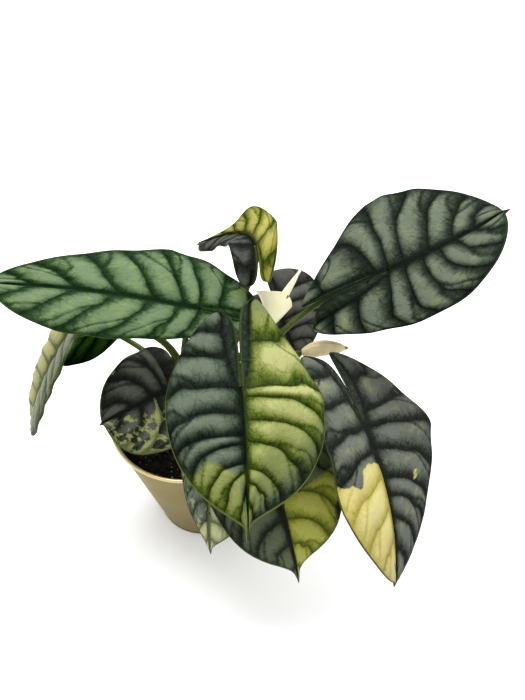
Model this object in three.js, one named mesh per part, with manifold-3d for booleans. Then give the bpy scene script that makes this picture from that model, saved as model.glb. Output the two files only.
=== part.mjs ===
// Potted variegated alocasia: a tapered metal pot of soil, eleven quilted leaves and two flowers.
// Millimetres, +Z up, origin at the centre of the pot's flat underside.
import * as THREE from 'three';
import { mergeVertices } from 'three/addons/utils/BufferGeometryUtils.js';
import Module from 'manifold-3d';

const wasm = await Module();
wasm.setup();

// Driving dimensions
const POT_HEIGHT = 125;
const POT_RIM_RADIUS = 60;
const POT_FOOT_RADIUS = 40;
const POT_WALL = 1.4;
const POT_FLOOR = 2.5;
const RIM_BEAD_RADIUS = 1.3;
const FOOT_BAND_HEIGHT = 3;
const FOOT_BAND_STEP = 0.4;
const SOIL_TOP = 113;
const SOIL_LUMP = 1.3;
const ROOTED_DEPTH = 14;
const SEAT_GAP = 0.3;
const BLADE_THICKNESS = 1.0;
const MIDRIB_HEIGHT = 1.1;
const MIDRIB_HALF = 0.6;
const GAP_HALF = 0.2;
const GAP_SHUT = 0.92;
const GAP_TURN = 0.12;
const DRIP_HALF = 1.4;
const BENT_VEIN = [0.9, 0.22, 0.12];
const STRAIGHT_VEIN = [0.6, 0.42, 0.05];
const RIB_CURVE = 0.75;
const FULL_PAD = 9;
const STALK_BASE_RADIUS = 3.2;
const STALK_TOP_RADIUS = 1.8;
const STALK_TAPER = 1.15;
const STALK_STEPS = 11;
const STALK_SIDES = 8;
const PEDUNCLE_BASE_RADIUS = 2.8;
const PEDUNCLE_TOP_RADIUS = 2.1;
const PEDUNCLE_PULL = 17;
const POT_SEGMENTS = 56;
const HOLE_SIDES = 16;
const HOLE_PLAY = 0.37;
const HOLE_ABOVE = 8;

const rad = THREE.MathUtils.degToRad;
const vec = (x, y, z) => new THREE.Vector3(x, y, z);

// Side veins at even steps: low of them between the lobe's end and the stalk, high up to the tip
const evenVeins = (low, high) => [
  ...Array.from({ length: low }, (_, k) => [(k + 1) / low - 1, (0.36 * (k + 1)) / low]),
  ...Array.from({ length: high - 1 }, (_, k) => [(k + 1) / high, 0.36 + 0.64 * ((k + 1) / high) ** 0.92])];

// Leaves. at: where the stalk meets the blade. heading, pitch, roll: direction of the midrib there.
// length: from there to the tip. drip: the narrow end of that. bend: droop to the tip.
// Pairs are left half, right half. relief: height of the pads between the side veins.
// veins: where each side vein starts, from -1 at the lobe's end over 0 at the stalk to 1 at the tip,
// and where it meets the margin, from 0 to 1. rib: how far in the vein of each lobe runs.
// course: how the side veins run out: the pull of their middle outwards, along, and back.
const LEAVES = {
  front: { at: [40.7, -41, 198.4], heading: -84.5, pitch: -15.3, roll: -8, length: 86, lobe: [60, 49.5],
    width: [48, 44], bend: 34, lobeBend: -9.5, sweep: 0.5, fold: [6, 12], cup: [11, 20],
    spread: [0.25, 0.27], wide: [0.1, 0.12], brow: [0.06, 0.22], flank: [0.13, 0.44],
    shoulder: [0.84, 0.72], tip: [0.15, 0.13], tipw: [0.01, 0.13], drip: 8, relief: 2.2,
    wave: [1.2, 3.2, 0.4], rib: [0.24, 0.26],
    veins: [[[-0.45, 0.19], [0, 0.42], [0.06, 0.53], [0.22, 0.63], [0.36, 0.74], [0.53, 0.83],
      [0.62, 0.88], [0.75, 0.93]],
    [[-0.62, 0.15], [-0.33, 0.25], [0, 0.42], [0.18, 0.55], [0.33, 0.62], [0.38, 0.71], [0.5, 0.79],
      [0.55, 0.86], [0.68, 0.93]]] },
  right: { at: [133.4, 31.9, 229.1], heading: -14, pitch: 37.7, roll: 24.5, length: 76, lobe: [70.3, 60.3],
    width: [62.8, 41.6], bend: 11.5, lobeBend: 3.4, sweep: -17.3, fold: [-2.8, 7.3], cup: [2, 20],
    spread: [0.01, 0.52], wide: [-0.16, 0.19], brow: [0.07, 0.22], flank: [0.14, 0.49],
    shoulder: [0.76, 0.68], tip: [0, 0], tipw: [0.13, 0.21], drip: 4, relief: 2.0,
    wave: [0.9, 2.6, 1.1], rib: [0.12, 0.42],
    veins: [[[-0.7, 0.1], [-0.12, 0.24], [0, 0.42], [0.13, 0.62], [0.36, 0.76], [0.55, 0.86],
      [0.72, 0.93]],
    [[-0.6, 0.14], [-0.3, 0.28], [0, 0.44], [0.14, 0.56], [0.29, 0.67], [0.43, 0.78], [0.57, 0.86],
      [0.73, 0.93]]] },
  left: { at: [11.6, 17.5, 208.5], heading: 190.7, pitch: 25, roll: -28.7, length: 128.5, lobe: [44.8, 49.9],
    width: [28.8, 37.5], bend: 22, lobeBend: 10.7, sweep: -4.1, fold: [9, 7.3], cup: [20, 16],
    spread: [0.03, 0.06], wide: [0.5, 0.16], brow: [0.28, 0.39], flank: [0.43, 0.51],
    shoulder: [0.67, 0.01], tip: [0, 0], tipw: [0.21, 0.33], drip: 6, relief: 1.7,
    wave: [1.3, 4.2, 0.2], rib: [0.2, 0.3], course: [STRAIGHT_VEIN, STRAIGHT_VEIN],
    veins: [[[-0.4, 0.2], [0, 0.34], [0.1, 0.46], [0.25, 0.6], [0.42, 0.73], [0.6, 0.84], [0.78, 0.93]],
      [[-0.6, 0.12], [-0.26, 0.23], [0, 0.36], [0.08, 0.47], [0.23, 0.58], [0.4, 0.7], [0.59, 0.84],
        [0.78, 0.93]]] },
  hanging: { at: [116.6, -40.8, 163.3], heading: -73, pitch: -14.3, roll: -19.5, length: 100.5,
    lobe: [58.6, 54.5], width: [55.9, 35.1], bend: 46, lobeBend: 13.6, sweep: -2.2, fold: [4, 8.6],
    cup: [7.5, 16], spread: [0.04, 0.67], wide: [0.06, 0.47], brow: [0.3, 0.34], flank: [0.22, 0.5],
    shoulder: [0, 0.21], tip: [0.02, 0], tipw: [0.1, 0.15], drip: 4, relief: 2.0,
    wave: [1.1, 3.0, 2.0], rib: [0.25, 0.3], course: [BENT_VEIN, STRAIGHT_VEIN],
    veins: [[[-0.5, 0.14], [-0.13, 0.3], [0.03, 0.45], [0.17, 0.61], [0.35, 0.71], [0.45, 0.78],
      [0.57, 0.86], [0.76, 0.93]],
    [[-0.58, 0.15], [-0.26, 0.29], [0.03, 0.43], [0.18, 0.56], [0.34, 0.68], [0.52, 0.8],
      [0.7, 0.9]]] },
  low: { at: [43.9, -26, 146.2], heading: -69.4, pitch: -3.2, roll: 4.5, length: 120, lobe: [14, 14],
    width: [48.2, 43.5], bend: 71, bendPower: 1.0, lobeBend: 4, sweep: 2.8, fold: [14, 10],
    cup: [20, 20], spread: [0.36, 0.36], wide: [0.13, 0.17], brow: [0.42, 0.42], flank: [0.62, 0.62],
    shoulder: [0.96, 0.81], tip: [0.28, 0.23], tipw: [0, 0.06], drip: 8, relief: 1.8,
    wave: [1.0, 3.0, 0.9], rib: [0.2, 0.2], veins: [evenVeins(1, 7), evenVeins(1, 7)] },
  middle: { at: [-11.6, -5.5, 153.3], heading: -149, pitch: 0, roll: -8.8, length: 54, lobe: [9, 11],
    width: [39.2, 40.8], bend: 30.4, lobeBend: 3.5, sweep: 9.3, fold: [7.8, 12], cup: [19, 19],
    spread: [0.5, 0.6], wide: [0.26, 0.06], brow: [0.42, 0.46], flank: [0.62, 0.67],
    shoulder: [0.94, 0.86], tip: [0.11, 0], tipw: [0.06, 0.09], drip: 3, relief: 1.5,
    wave: [0.8, 2.4, 0.3], rib: [0.2, 0.2],
    veins: [[[-0.01, 0.38], [0.2, 0.56], [0.42, 0.72], [0.7, 0.86]],
      [[-0.02, 0.24], [0.07, 0.46], [0.25, 0.68], [0.52, 0.87]]] },
  small: { at: [17.4, -33.4, 138.2], heading: -91.6, pitch: -7.6, roll: 4.6, length: 83.5, lobe: [12, 12],
    width: [29.8, 19.6], bend: 68, bendPower: 1.0, lobeBend: 4, sweep: 1.8, fold: [9, 8],
    cup: [20, 20], spread: [0.4, 0.4], wide: [0.34, 0.03], brow: [0.42, 0.42], flank: [0.62, 0.62],
    shoulder: [0.74, 0.61], tip: [0.16, 0.19], tipw: [0.07, 0.07], drip: 6, relief: 1.2,
    wave: [0.8, 3.0, 1.5], rib: [0.2, 0.2], veins: [evenVeins(1, 6), evenVeins(1, 6)] },
  far: { at: [-82, 18, 183], heading: 203, pitch: -51, roll: 3, length: 87, lobe: [28, 28],
    width: [27, 28], bend: 17, lobeBend: 20, sweep: 0, fold: [16, 17], cup: [29, 33],
    spread: [0.36, 0.36], wide: [0.68, 0.6], brow: [0.42, 0.42], flank: [0.62, 0.62],
    shoulder: [0.9, 0.9], tip: [0.06, 0.06], tipw: [0.6, 0.45], drip: 3, relief: 1.9,
    wave: [0.5, 4.5, 0.7], rib: [0.2, 0.2], veins: [evenVeins(2, 6), evenVeins(2, 6)] },
  under: { at: [-69, 51, 160], heading: 168, pitch: -24, roll: -3, length: 69, lobe: [24, 24],
    width: [36, 28], bend: 16, lobeBend: 0, sweep: 0, fold: [10, 8], cup: [20, 20],
    spread: [0.36, 0.36], wide: [0.12, 0.1], brow: [0.42, 0.42], flank: [0.62, 0.62],
    shoulder: [0.62, 0.62], tip: [0.34, 0.34], tipw: [0.05, 0.05], drip: 4, relief: 1.0,
    wave: [0.5, 2.2, 0.0], rib: [0.2, 0.2], veins: [evenVeins(2, 5), evenVeins(2, 5)] },
  curled: { at: [48, 66, 225], heading: 99, pitch: -7, roll: -11, length: 75.5, lobe: [35.6, 32.5],
    width: [19.6, 21.6], bend: 46, lobeBend: 56, sweep: -78, twist: -55, lobeSweep: -22, lobeTwist: 20,
    fold: [23, 42], cup: [20, 16], spread: [0.36, 0.56], wide: [0.36, 0.16], brow: [0.55, 0.36],
    flank: [0.79, 0.58], shoulder: [0.95, 0.52], tip: [0.05, 0.9], tipw: [1.0, 0.04], drip: 2.4,
    relief: 1.3, wave: [1.0, 2.5, 0.5], rib: [0.2, 0.2], veins: [evenVeins(2, 6), evenVeins(2, 6)] },
  back: { at: [61, 77, 167], heading: -55, pitch: -50, roll: 17, length: 58, lobe: [20, 8],
    width: [37, 26], bend: 16, lobeBend: -1, sweep: -3, fold: [9, 8], cup: [20, 20],
    spread: [0.12, 0.41], wide: [0.04, 0.1], brow: [0.42, 0.42], flank: [0.62, 0.62],
    shoulder: [0.82, 0.82], tip: [0.05, 0.05], tipw: [0.11, 0.11], drip: 3, relief: 1.2,
    wave: [0.7, 2.0, 0.8], rib: [0.2, 0.2], veins: [evenVeins(1, 6), evenVeins(1, 5)] },
};

// Stalks. foot: where each one leaves the soil. rise: pull away from the foot. arrive: share of the
// midrib direction in the way it meets the blade. lean: the same towards the right half.
// reach: length of that last pull.
const STALKS = {
  front: { foot: [5, -6], rise: [2, 2, 42], arrive: 0.5, reach: 26 },
  right: { foot: [13, 6], rise: [50, 11, 62], arrive: 3.5, lean: 0.8, reach: 110 },
  left: { foot: [-2, 5], rise: [-4, 6, 44], arrive: -0.2, reach: 20 },
  hanging: { foot: [12, -11], rise: [26, 12, 64], arrive: 1.5, reach: 30 },
  low: { foot: [5, -15], rise: [4, 0, 14], arrive: 0.9, reach: 14 },
  middle: { foot: [-9, -4], rise: [0, 0, 12], arrive: 0.2, reach: 9 },
  small: { foot: [-4, -14], rise: [2, 0, 10], arrive: 0.6, reach: 12 },
  far: { foot: [-4, 14], rise: [2, 9, 88], arrive: 0.7, reach: 34 },
  under: { foot: [-12, 9], rise: [-2, 7, 46], arrive: 0.8, reach: 26 },
  curled: { foot: [4, 16], rise: [6, 12, 44], arrive: 0.1, reach: 26 },
  back: { foot: [11, 14], rise: [8, 16, 26], arrive: 0.4, reach: 22 },
};

// Colours and finishes of the pieces
const LOOKS = {
  pot: [0xc2b089, 0.32, 1.0], soil: [0x14100c, 0.95, 0],
  front: [0x748462, 0.5, 0], right: [0x4c5a55, 0.5, 0], left: [0x5f7d5f, 0.5, 0],
  hanging: [0x4b4f4c, 0.5, 0], low: [0x6d7434, 0.5, 0], middle: [0x3d4340, 0.55, 0],
  small: [0x74805e, 0.5, 0], far: [0x93985c, 0.5, 0], under: [0x16290f, 0.35, 0],
  curled: [0x75803a, 0.5, 0], back: [0x45474a, 0.6, 0],
  stalk: [0x5d7326, 0.45, 0], spathe: [0xe2dcb0, 0.55, 0], spadix: [0xe6e0b8, 0.6, 0],
  bud: [0xcdbf98, 0.55, 0],
};
const look = (key) => new THREE.MeshStandardMaterial({
  color: LOOKS[key][0], roughness: LOOKS[key][1], metalness: LOOKS[key][2] });

// Closed mesh helpers
function signedVolume(pos, tri) {
  let v = 0;
  for (const [a, b, c] of tri) {
    v += pos[a].dot(new THREE.Vector3().crossVectors(pos[b], pos[c])) / 6;
  }
  return v;
}
function closed(pos, tri) {
  const flip = signedVolume(pos, tri) < 0;
  const g = new THREE.BufferGeometry();
  g.setAttribute('position', new THREE.Float32BufferAttribute(pos.flatMap((p) => [p.x, p.y, p.z]), 3));
  g.setIndex(tri.flatMap(([a, b, c]) => (flip ? [a, c, b] : [a, b, c])));
  return g;
}
function merged(geometry) {
  const g = geometry.clone();
  g.deleteAttribute('normal');
  g.deleteAttribute('uv');
  return mergeVertices(g, 1e-4);
}
function toManifold(geometry) {
  const g = merged(geometry);
  return new wasm.Manifold(new wasm.Mesh({ numProp: 3,
    vertProperties: new Float32Array(g.attributes.position.array),
    triVerts: new Uint32Array(g.index.array) }));
}
function fromManifold(m) {
  const mesh = m.getMesh();
  const g = new THREE.BufferGeometry();
  g.setAttribute('position', new THREE.BufferAttribute(new Float32Array(mesh.vertProperties), 3));
  g.setIndex(new THREE.BufferAttribute(new Uint32Array(mesh.triVerts), 1));
  return g;
}
// A turned piece from a profile of [radius, height] points that starts and ends on the axis.
function turned(profile, segments) {
  const g = merged(new THREE.LatheGeometry(profile.map(([r, z]) => new THREE.Vector2(r, z)), segments)
    .rotateX(Math.PI / 2));
  const pos = [];
  const p = g.attributes.position;
  for (let i = 0; i < p.count; i++) pos.push(vec(p.getX(i), p.getY(i), p.getZ(i)));
  const tri = [];
  for (let i = 0; i < g.index.count; i += 3) {
    const t = [g.index.getX(i), g.index.getX(i + 1), g.index.getX(i + 2)];
    if (t[0] !== t[1] && t[1] !== t[2] && t[2] !== t[0]) tri.push(t);
  }
  return closed(pos, tri);
}

// Blade outline of one half: x out from the midrib, y towards the tip
function bezier(points, t) {
  const s = 1 - t;
  const w = [s * s * s, 3 * s * s * t, 3 * s * t * t, t * t * t];
  return [0, 1].map((k) => points.reduce((sum, p, i) => sum + w[i] * p[k], 0));
}
function resample(line, f) {
  const d = [0];
  for (let i = 1; i < line.length; i++) {
    d.push(d[i - 1] + Math.hypot(line[i][0] - line[i - 1][0], line[i][1] - line[i - 1][1]));
  }
  const want = f * d[d.length - 1];
  let i = 1;
  while (i < d.length - 1 && d[i] < want) i++;
  const u = (want - d[i - 1]) / (d[i] - d[i - 1]);
  return [0, 1].map((k) => line[i - 1][k] + u * (line[i][k] - line[i - 1][k]));
}
function outlineOf(leaf, side) {
  const W = leaf.width[side], A = leaf.length, P = leaf.lobe[side];
  const lobeEnd = [leaf.spread[side] * W, -P];
  const widest = [W, leaf.wide[side] * A];
  const neck = [DRIP_HALF, A - leaf.drip];
  const line = (pts, n) => Array.from({ length: n + 1 }, (_, i) => bezier(pts, i / n));
  const low = line([lobeEnd, [lobeEnd[0] + leaf.brow[side] * (W - lobeEnd[0]), -P * 1.02 - 0.02 * A],
    [W, widest[1] - leaf.flank[side] * (widest[1] + P)], widest], 60);
  const high = line([widest, [W, widest[1] + leaf.shoulder[side] * (neck[1] - widest[1])],
    [neck[0] + leaf.tipw[side] * W, neck[1] - leaf.tip[side] * (neck[1] - widest[1])], neck], 80);
  const end = line([neck, [0.43 * neck[0], neck[1] + 0.3 * leaf.drip], [0.29 * neck[0], A - 0.3 * leaf.drip],
    [0, A]], 12);
  const inner = line([lobeEnd, [GAP_TURN * lobeEnd[0], -P * 0.98], [0, -P * GAP_SHUT], [0, 0]], 60);
  return { outer: [...low, ...high.slice(1), ...end.slice(1)], inner };
}

// Midrib frames from the lobe ends to the tip
function spineOf(leaf) {
  const h = rad(leaf.heading), p = rad(leaf.pitch), r = rad(leaf.roll);
  const t0 = vec(Math.cos(p) * Math.cos(h), Math.cos(p) * Math.sin(h), Math.sin(p));
  const flat = new THREE.Vector3().crossVectors(t0, vec(0, 0, 1)).normalize();
  const up = new THREE.Vector3().crossVectors(flat, t0);
  const b0 = flat.clone().multiplyScalar(Math.cos(r)).addScaledVector(up, -Math.sin(r));
  const n0 = new THREE.Vector3().crossVectors(b0, t0);
  const A = leaf.length, P = Math.max(...leaf.lobe);
  const mix = (a, ca, b, cb) => a.clone().multiplyScalar(ca).addScaledVector(b, cb);
  const march = (end, count) => {
    const out = [];
    for (let i = 0; i < count; i++) {
      const y = (end * i) / (count - 1);
      let th, ps, tw;
      if (end > 0) {
        th = rad(leaf.bend) * (y / A) ** (leaf.bendPower ?? 1.3);
        ps = rad(leaf.sweep ?? 0) * (y / A);
        tw = rad(leaf.twist ?? 0) * (y / A);
      } else {
        th = rad(leaf.lobeBend) * (y / P);
        ps = rad(leaf.lobeSweep ?? 0) * (y / P);
        tw = rad(leaf.lobeTwist ?? 0) * (y / P);
      }
      let t = mix(t0, Math.cos(th), n0, -Math.sin(th));
      let n = mix(n0, Math.cos(th), t0, Math.sin(th));
      let b = b0.clone();
      [t, b] = [mix(t, Math.cos(ps), b, Math.sin(ps)), mix(b, Math.cos(ps), t, -Math.sin(ps))];
      [b, n] = [mix(b, Math.cos(tw), n, -Math.sin(tw)), mix(n, Math.cos(tw), b, Math.sin(tw))];
      const m = vec(0, 0, 0);
      if (i > 0) {
        const last = out[i - 1];
        m.copy(last.m).addScaledVector(t.clone().add(last.t), 0.5 * (y - last.y));
      }
      out.push({ y, m, t, b, n });
    }
    return out;
  };
  const forward = march(A, 120);
  const back = march(-1.3 * P, 50);
  return [...back.slice(1).reverse(), ...forward];
}
function frameAt(spine, y) {
  let i = 1;
  while (i < spine.length - 1 && spine[i].y < y) i++;
  const a = spine[i - 1], b = spine[i];
  const u = THREE.MathUtils.clamp((y - a.y) / (b.y - a.y), 0, 1);
  return { m: a.m.clone().lerp(b.m, u), b: a.b.clone().lerp(b.b, u), n: a.n.clone().lerp(b.n, u) };
}
// Leaf coordinates to space. lift: distance along the blade's own normal.
function onBlade(leaf, spine, x, y, side, lift, onMidrib) {
  const W = leaf.width[side];
  const f = frameAt(spine, y);
  const fold = rad(leaf.fold[side]);
  let k = rad(leaf.cup[side]) / W;
  if (Math.abs(k) < 1e-6) k = 1e-6;
  let across = (Math.sin(fold) - Math.sin(fold - k * x)) / k;
  let rise = (Math.cos(fold - k * x) - Math.cos(fold)) / k;
  const slope = onMidrib ? 0 : fold - k * x;
  across -= lift * Math.sin(slope);
  rise += lift * Math.cos(slope);
  const [high, count, shift] = leaf.wave;
  const r = THREE.MathUtils.clamp(x / W, 0, 1.2);
  rise += high * r * r * Math.sin((2 * Math.PI * count * y) / leaf.length + shift + side * 2);
  return vec(...leaf.at).add(f.m).addScaledVector(f.b, (side === 0 ? -1 : 1) * across)
    .addScaledVector(f.n, rise);
}
// Leaf coordinates on one row, which runs from the midrib or the gap between the lobes to the margin.
// base, margin: its ends, counted as in the leaf's list of veins. t: share of the way out.
function onRow(leaf, half, side, base, margin, t) {
  const [reach, turn, bow] = leaf.course?.[side] ?? BENT_VEIN;
  let start = [MIDRIB_HALF * Math.min(1, (1 - base) * 8), leaf.length * base];
  if (base < 0) {
    start = resample(half.inner, base + 1);
    start[0] = Math.max(start[0], GAP_HALF);
  }
  const edge = resample(half.outer, margin);
  const dx = edge[0] - start[0], dy = edge[1] - start[1];
  const pull = [start[0] + reach * dx, start[1] + turn * dy - bow * dx];
  const w = [(1 - t) ** 2, 2 * t * (1 - t), t * t];
  return [0, 1].map((k) => w[0] * start[k] + w[1] * pull[k] + w[2] * edge[k]);
}
// Pads between the side veins: zero on each vein, full between them, low at midrib and margin
const PAD_ACROSS = [[0, 0], [0.08, 0.62], [0.22, 1], [0.62, 1], [0.86, 0.7], [1, 0.12]];
function padHeight(leaf, share, t) {
  let i = 1;
  while (i < PAD_ACROSS.length - 1 && PAD_ACROSS[i][0] < t) i++;
  const [t0, v0] = PAD_ACROSS[i - 1], [t1, v1] = PAD_ACROSS[i];
  const across = v0 + ((v1 - v0) * (t - t0)) / (t1 - t0);
  return leaf.relief * across * Math.sin(Math.PI * share) ** 0.6;
}
// One half of a blade as rows of upper and lower points
function bladeHalf(leaf, spine, side, steps, columns) {
  const half = outlineOf(leaf, side);
  const stops = [[-1, 0], ...leaf.veins[side], [1, 1]];
  const middle = stops.map(([base, margin]) => onRow(leaf, half, side, base, margin, 0.5));
  const rows = [];
  for (let k = 0; k < stops.length - 1; k++) {
    const apart = Math.hypot(middle[k + 1][0] - middle[k][0], middle[k + 1][1] - middle[k][1]);
    for (const share of k === stops.length - 2 ? [...steps, 1] : steps) {
      const [base, margin] = [0, 1].map((i) => stops[k][i] + share * (stops[k + 1][i] - stops[k][i]));
      const cross = leaf.rib[side] * Math.max(0, -base) ** RIB_CURVE;
      rows.push({ base, points: columns.map((c, j) => {
        const t = j === 1 ? Math.max(c, cross) : Math.max(c, c + cross * (1 - c) * Math.sign(c));
        const [x, y] = onRow(leaf, half, side, base, margin, t);
        const beyond = Math.max(0, (t - cross) / (1 - cross));
        const lift = padHeight(leaf, share % 1, beyond) * Math.min(1, apart / FULL_PAD);
        const onMidrib = j === 0 && base >= 0;
        const rib = onMidrib ? MIDRIB_HEIGHT * (1 - 0.85 * Math.max(0, y) / leaf.length) : 0;
        return [onBlade(leaf, spine, x, y, side, lift, onMidrib),
          onBlade(leaf, spine, x, y, side, lift - BLADE_THICKNESS - rib, onMidrib)];
      }) });
    }
  }
  return rows;
}
// One closed blade: two halves joined by a narrow strip along the midrib, and a wall round the edge
function bladeSolid(leaf, steps, columns) {
  const spine = spineOf(leaf);
  const halves = [0, 1].map((side) => bladeHalf(leaf, spine, side, steps, columns));
  const pos = [], ids = [], top = [];
  const put = ([upper, lower]) => pos.push(upper, lower) - 2;
  const tip = put(halves[1].at(-1).points[0]);
  for (const rows of halves) {
    ids.push(rows.map((row, i) => {
      if (i === rows.length - 1) return row.points.map(() => tip);
      if (i > 0) return row.points.map(put);
      const end = put(row.points[0]);
      return row.points.map(() => end);
    }));
  }
  const face = (a, b, c) => {
    if (a !== b && b !== c && c !== a) top.push([a, b, c]);
  };
  ids.forEach((rows, side) => {
    for (let i = 0; i < rows.length - 1; i++) {
      for (let j = 0; j < columns.length - 1; j++) {
        const q = [rows[i][j], rows[i][j + 1], rows[i + 1][j + 1], rows[i + 1][j]];
        if (side === 0) q.reverse();
        face(q[0], q[1], q[2]);
        face(q[0], q[2], q[3]);
      }
    }
  });
  const [left, right] = halves.map((rows, side) => {
    const from = rows.findIndex((row) => row.base >= 0);
    return rows.slice(from).map((row, i) => ({ id: ids[side][from + i][0], base: row.base }));
  });
  for (let i = 0, j = 0; i < left.length - 1 || j < right.length - 1;) {
    const next = j === right.length - 1 || (i < left.length - 1 && left[i + 1].base <= right[j + 1].base);
    if (next) face(left[i].id, right[j].id, left[++i].id);
    else face(left[i].id, right[j].id, right[++j].id);
  }
  const edges = new Set(top.flatMap(([a, b, c]) => [`${a},${b}`, `${b},${c}`, `${c},${a}`]));
  const tri = [];
  for (const [a, b, c] of top) {
    tri.push([a, b, c], [a + 1, c + 1, b + 1]);
    for (const [p, q] of [[a, b], [b, c], [c, a]]) {
      if (!edges.has(`${q},${p}`)) tri.push([q, p, p + 1], [q, p + 1, q + 1]);
    }
  }
  return closed(pos, tri);
}

// A tapered stalk along a list of points. lastPlane cuts its end parallel to the blade it carries.
function stalkSolid(path, radiusAt, sides, lastPlane) {
  const pos = [], tri = [];
  const n = path.length;
  const dir = (i) => path[Math.min(i + 1, n - 1)].clone().sub(path[Math.max(i - 1, 0)]).normalize();
  let side = vec(1, 0, 0);
  for (let i = 0; i < n; i++) {
    const t = i === n - 1 && lastPlane ? lastPlane.along : dir(i);
    side = side.clone().addScaledVector(t, -side.dot(t)).normalize();
    const other = new THREE.Vector3().crossVectors(t, side);
    for (let k = 0; k < sides; k++) {
      const a = (2 * Math.PI * k) / sides;
      const p = path[i].clone().addScaledVector(side, radiusAt(i / (n - 1)) * Math.cos(a))
        .addScaledVector(other, radiusAt(i / (n - 1)) * Math.sin(a));
      if (i === n - 1 && lastPlane) {
        const off = path[i].clone().sub(p).dot(lastPlane.normal) / t.dot(lastPlane.normal);
        p.addScaledVector(t, off);
      }
      pos.push(p);
    }
  }
  for (let i = 0; i < n - 1; i++) {
    for (let k = 0; k < sides; k++) {
      const a = i * sides + k, b = i * sides + ((k + 1) % sides);
      tri.push([a, b, b + sides], [a, b + sides, a + sides]);
    }
  }
  const start = pos.length;
  pos.push(path[0].clone(), path[n - 1].clone());
  for (let k = 0; k < sides; k++) {
    tri.push([start, (k + 1) % sides, k]);
    const e = (n - 1) * sides;
    tri.push([start + 1, e + k, e + ((k + 1) % sides)]);
  }
  return closed(pos, tri);
}
function curvePath(foot, rise, end, pull, count) {
  const start = vec(foot[0], foot[1], SOIL_TOP + 4);
  const curve = new THREE.CubicBezierCurve3(start, start.clone().add(vec(...rise)), pull, end);
  return [vec(foot[0], foot[1], SOIL_TOP - ROOTED_DEPTH), vec(foot[0], foot[1], SOIL_TOP - 2),
    ...curve.getPoints(count)];
}

const plant = new THREE.Group();
function add(name, geometry, key, parent = plant) {
  const mesh = new THREE.Mesh(geometry, look(key));
  mesh.name = name;
  parent.add(mesh);
  return mesh;
}

// Pot
const wallRadius = (z) => POT_FOOT_RADIUS
  + ((POT_RIM_RADIUS - RIM_BEAD_RADIUS - POT_FOOT_RADIUS) * z) / POT_HEIGHT;
const beadCentre = [POT_RIM_RADIUS - RIM_BEAD_RADIUS, POT_HEIGHT - RIM_BEAD_RADIUS];
const bead = [-100, -50, 0, 50, 100, 150, 195].map((a) => [
  beadCentre[0] + RIM_BEAD_RADIUS * Math.cos(rad(a)), beadCentre[1] + RIM_BEAD_RADIUS * Math.sin(rad(a))]);
const potProfile = [
  [0, 0], [POT_FOOT_RADIUS - 0.8, 0], [POT_FOOT_RADIUS + FOOT_BAND_STEP, 0.8],
  [wallRadius(FOOT_BAND_HEIGHT) + FOOT_BAND_STEP, FOOT_BAND_HEIGHT],
  [wallRadius(FOOT_BAND_HEIGHT + 0.8), FOOT_BAND_HEIGHT + 0.8],
  ...bead,
  [wallRadius(POT_HEIGHT - 4) - POT_WALL, POT_HEIGHT - 4],
  [wallRadius(POT_FLOOR) - POT_WALL, POT_FLOOR], [0, POT_FLOOR]];
add('pot', turned(potProfile, POT_SEGMENTS), 'pot');

// Soil with a lumpy top, and a plain round hole for each stalk that stands in it
const soilRadius = (z) => wallRadius(z) - POT_WALL - SEAT_GAP - 0.1;
function soilHeight(x, y) {
  const lump = Math.sin(0.31 * x + 1.3) * Math.cos(0.27 * y - 0.4)
    + 0.6 * Math.sin(0.53 * x - 0.61 * y + 2.1) + 0.45 * Math.cos(0.83 * y + 0.47 * x);
  return SOIL_TOP + SOIL_LUMP * 0.5 * lump;
}
function soilSolid() {
  const rings = [9, 17, 25, 33, 41, 48, 53, soilRadius(SOIL_TOP)], segments = 40;
  const pos = [vec(0, 0, soilHeight(0, 0))], tri = [];
  rings.forEach((r, i) => {
    for (let k = 0; k < segments; k++) {
      const a = (2 * Math.PI * (k + 0.5 * (i % 2))) / segments;
      const x = r * Math.cos(a), y = r * Math.sin(a);
      pos.push(vec(x, y, i === rings.length - 1 ? SOIL_TOP : soilHeight(x, y)));
    }
  });
  const at = (i, k) => 1 + i * segments + (k % segments);
  for (let k = 0; k < segments; k++) tri.push([0, at(0, k), at(0, k + 1)]);
  for (let i = 0; i < rings.length - 1; i++) {
    for (let k = 0; k < segments; k++) {
      const a = at(i, k), b = at(i, k + 1), c = at(i + 1, k), d = at(i + 1, k + 1);
      if (i % 2 === 0) tri.push([a, c, b], [b, c, d]);
      else tri.push([a, c, d], [a, d, b]);
    }
  }
  const low = pos.length, last = rings.length - 1, zLow = POT_FLOOR + SEAT_GAP;
  for (let k = 0; k < segments; k++) {
    const a = (2 * Math.PI * (k + 0.5 * (last % 2))) / segments;
    pos.push(vec(soilRadius(zLow) * Math.cos(a), soilRadius(zLow) * Math.sin(a), zLow));
  }
  const centre = pos.length;
  pos.push(vec(0, 0, zLow));
  for (let k = 0; k < segments; k++) {
    const a = at(last, k), b = at(last, k + 1), c = low + k, d = low + ((k + 1) % segments);
    tri.push([a, c, b], [b, c, d], [centre, d, c]);
  }
  return closed(pos, tri);
}

// Flowers
const SPATHE_BASE = [56, 42, 172];
const SPATHE_AXIS = [0.5, 0.6, 0.62];
const SPATHE_LENGTH = 24;
const SPATHE_FOOT_RADIUS = 3.4;
const SPATHE_POINT = 10;
const SPATHE_MOUTH_RADIUS = 9.2;
const SPATHE_WALL = 1.0;
const SPADIX_LENGTH = 46;
const BUD_BASE = [81, 24, 161];
const BUD_TIP = [114, 24, 165.5];
const BUD_RADIUS = 6.5;
const BUD_NECK = 2.2;
const PEDUNCLES = {
  spathe: { foot: [6, 5], rise: [14, 12, 30] },
  bud: { foot: [15, -3], rise: [26, 4, 24] },
};
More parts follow.
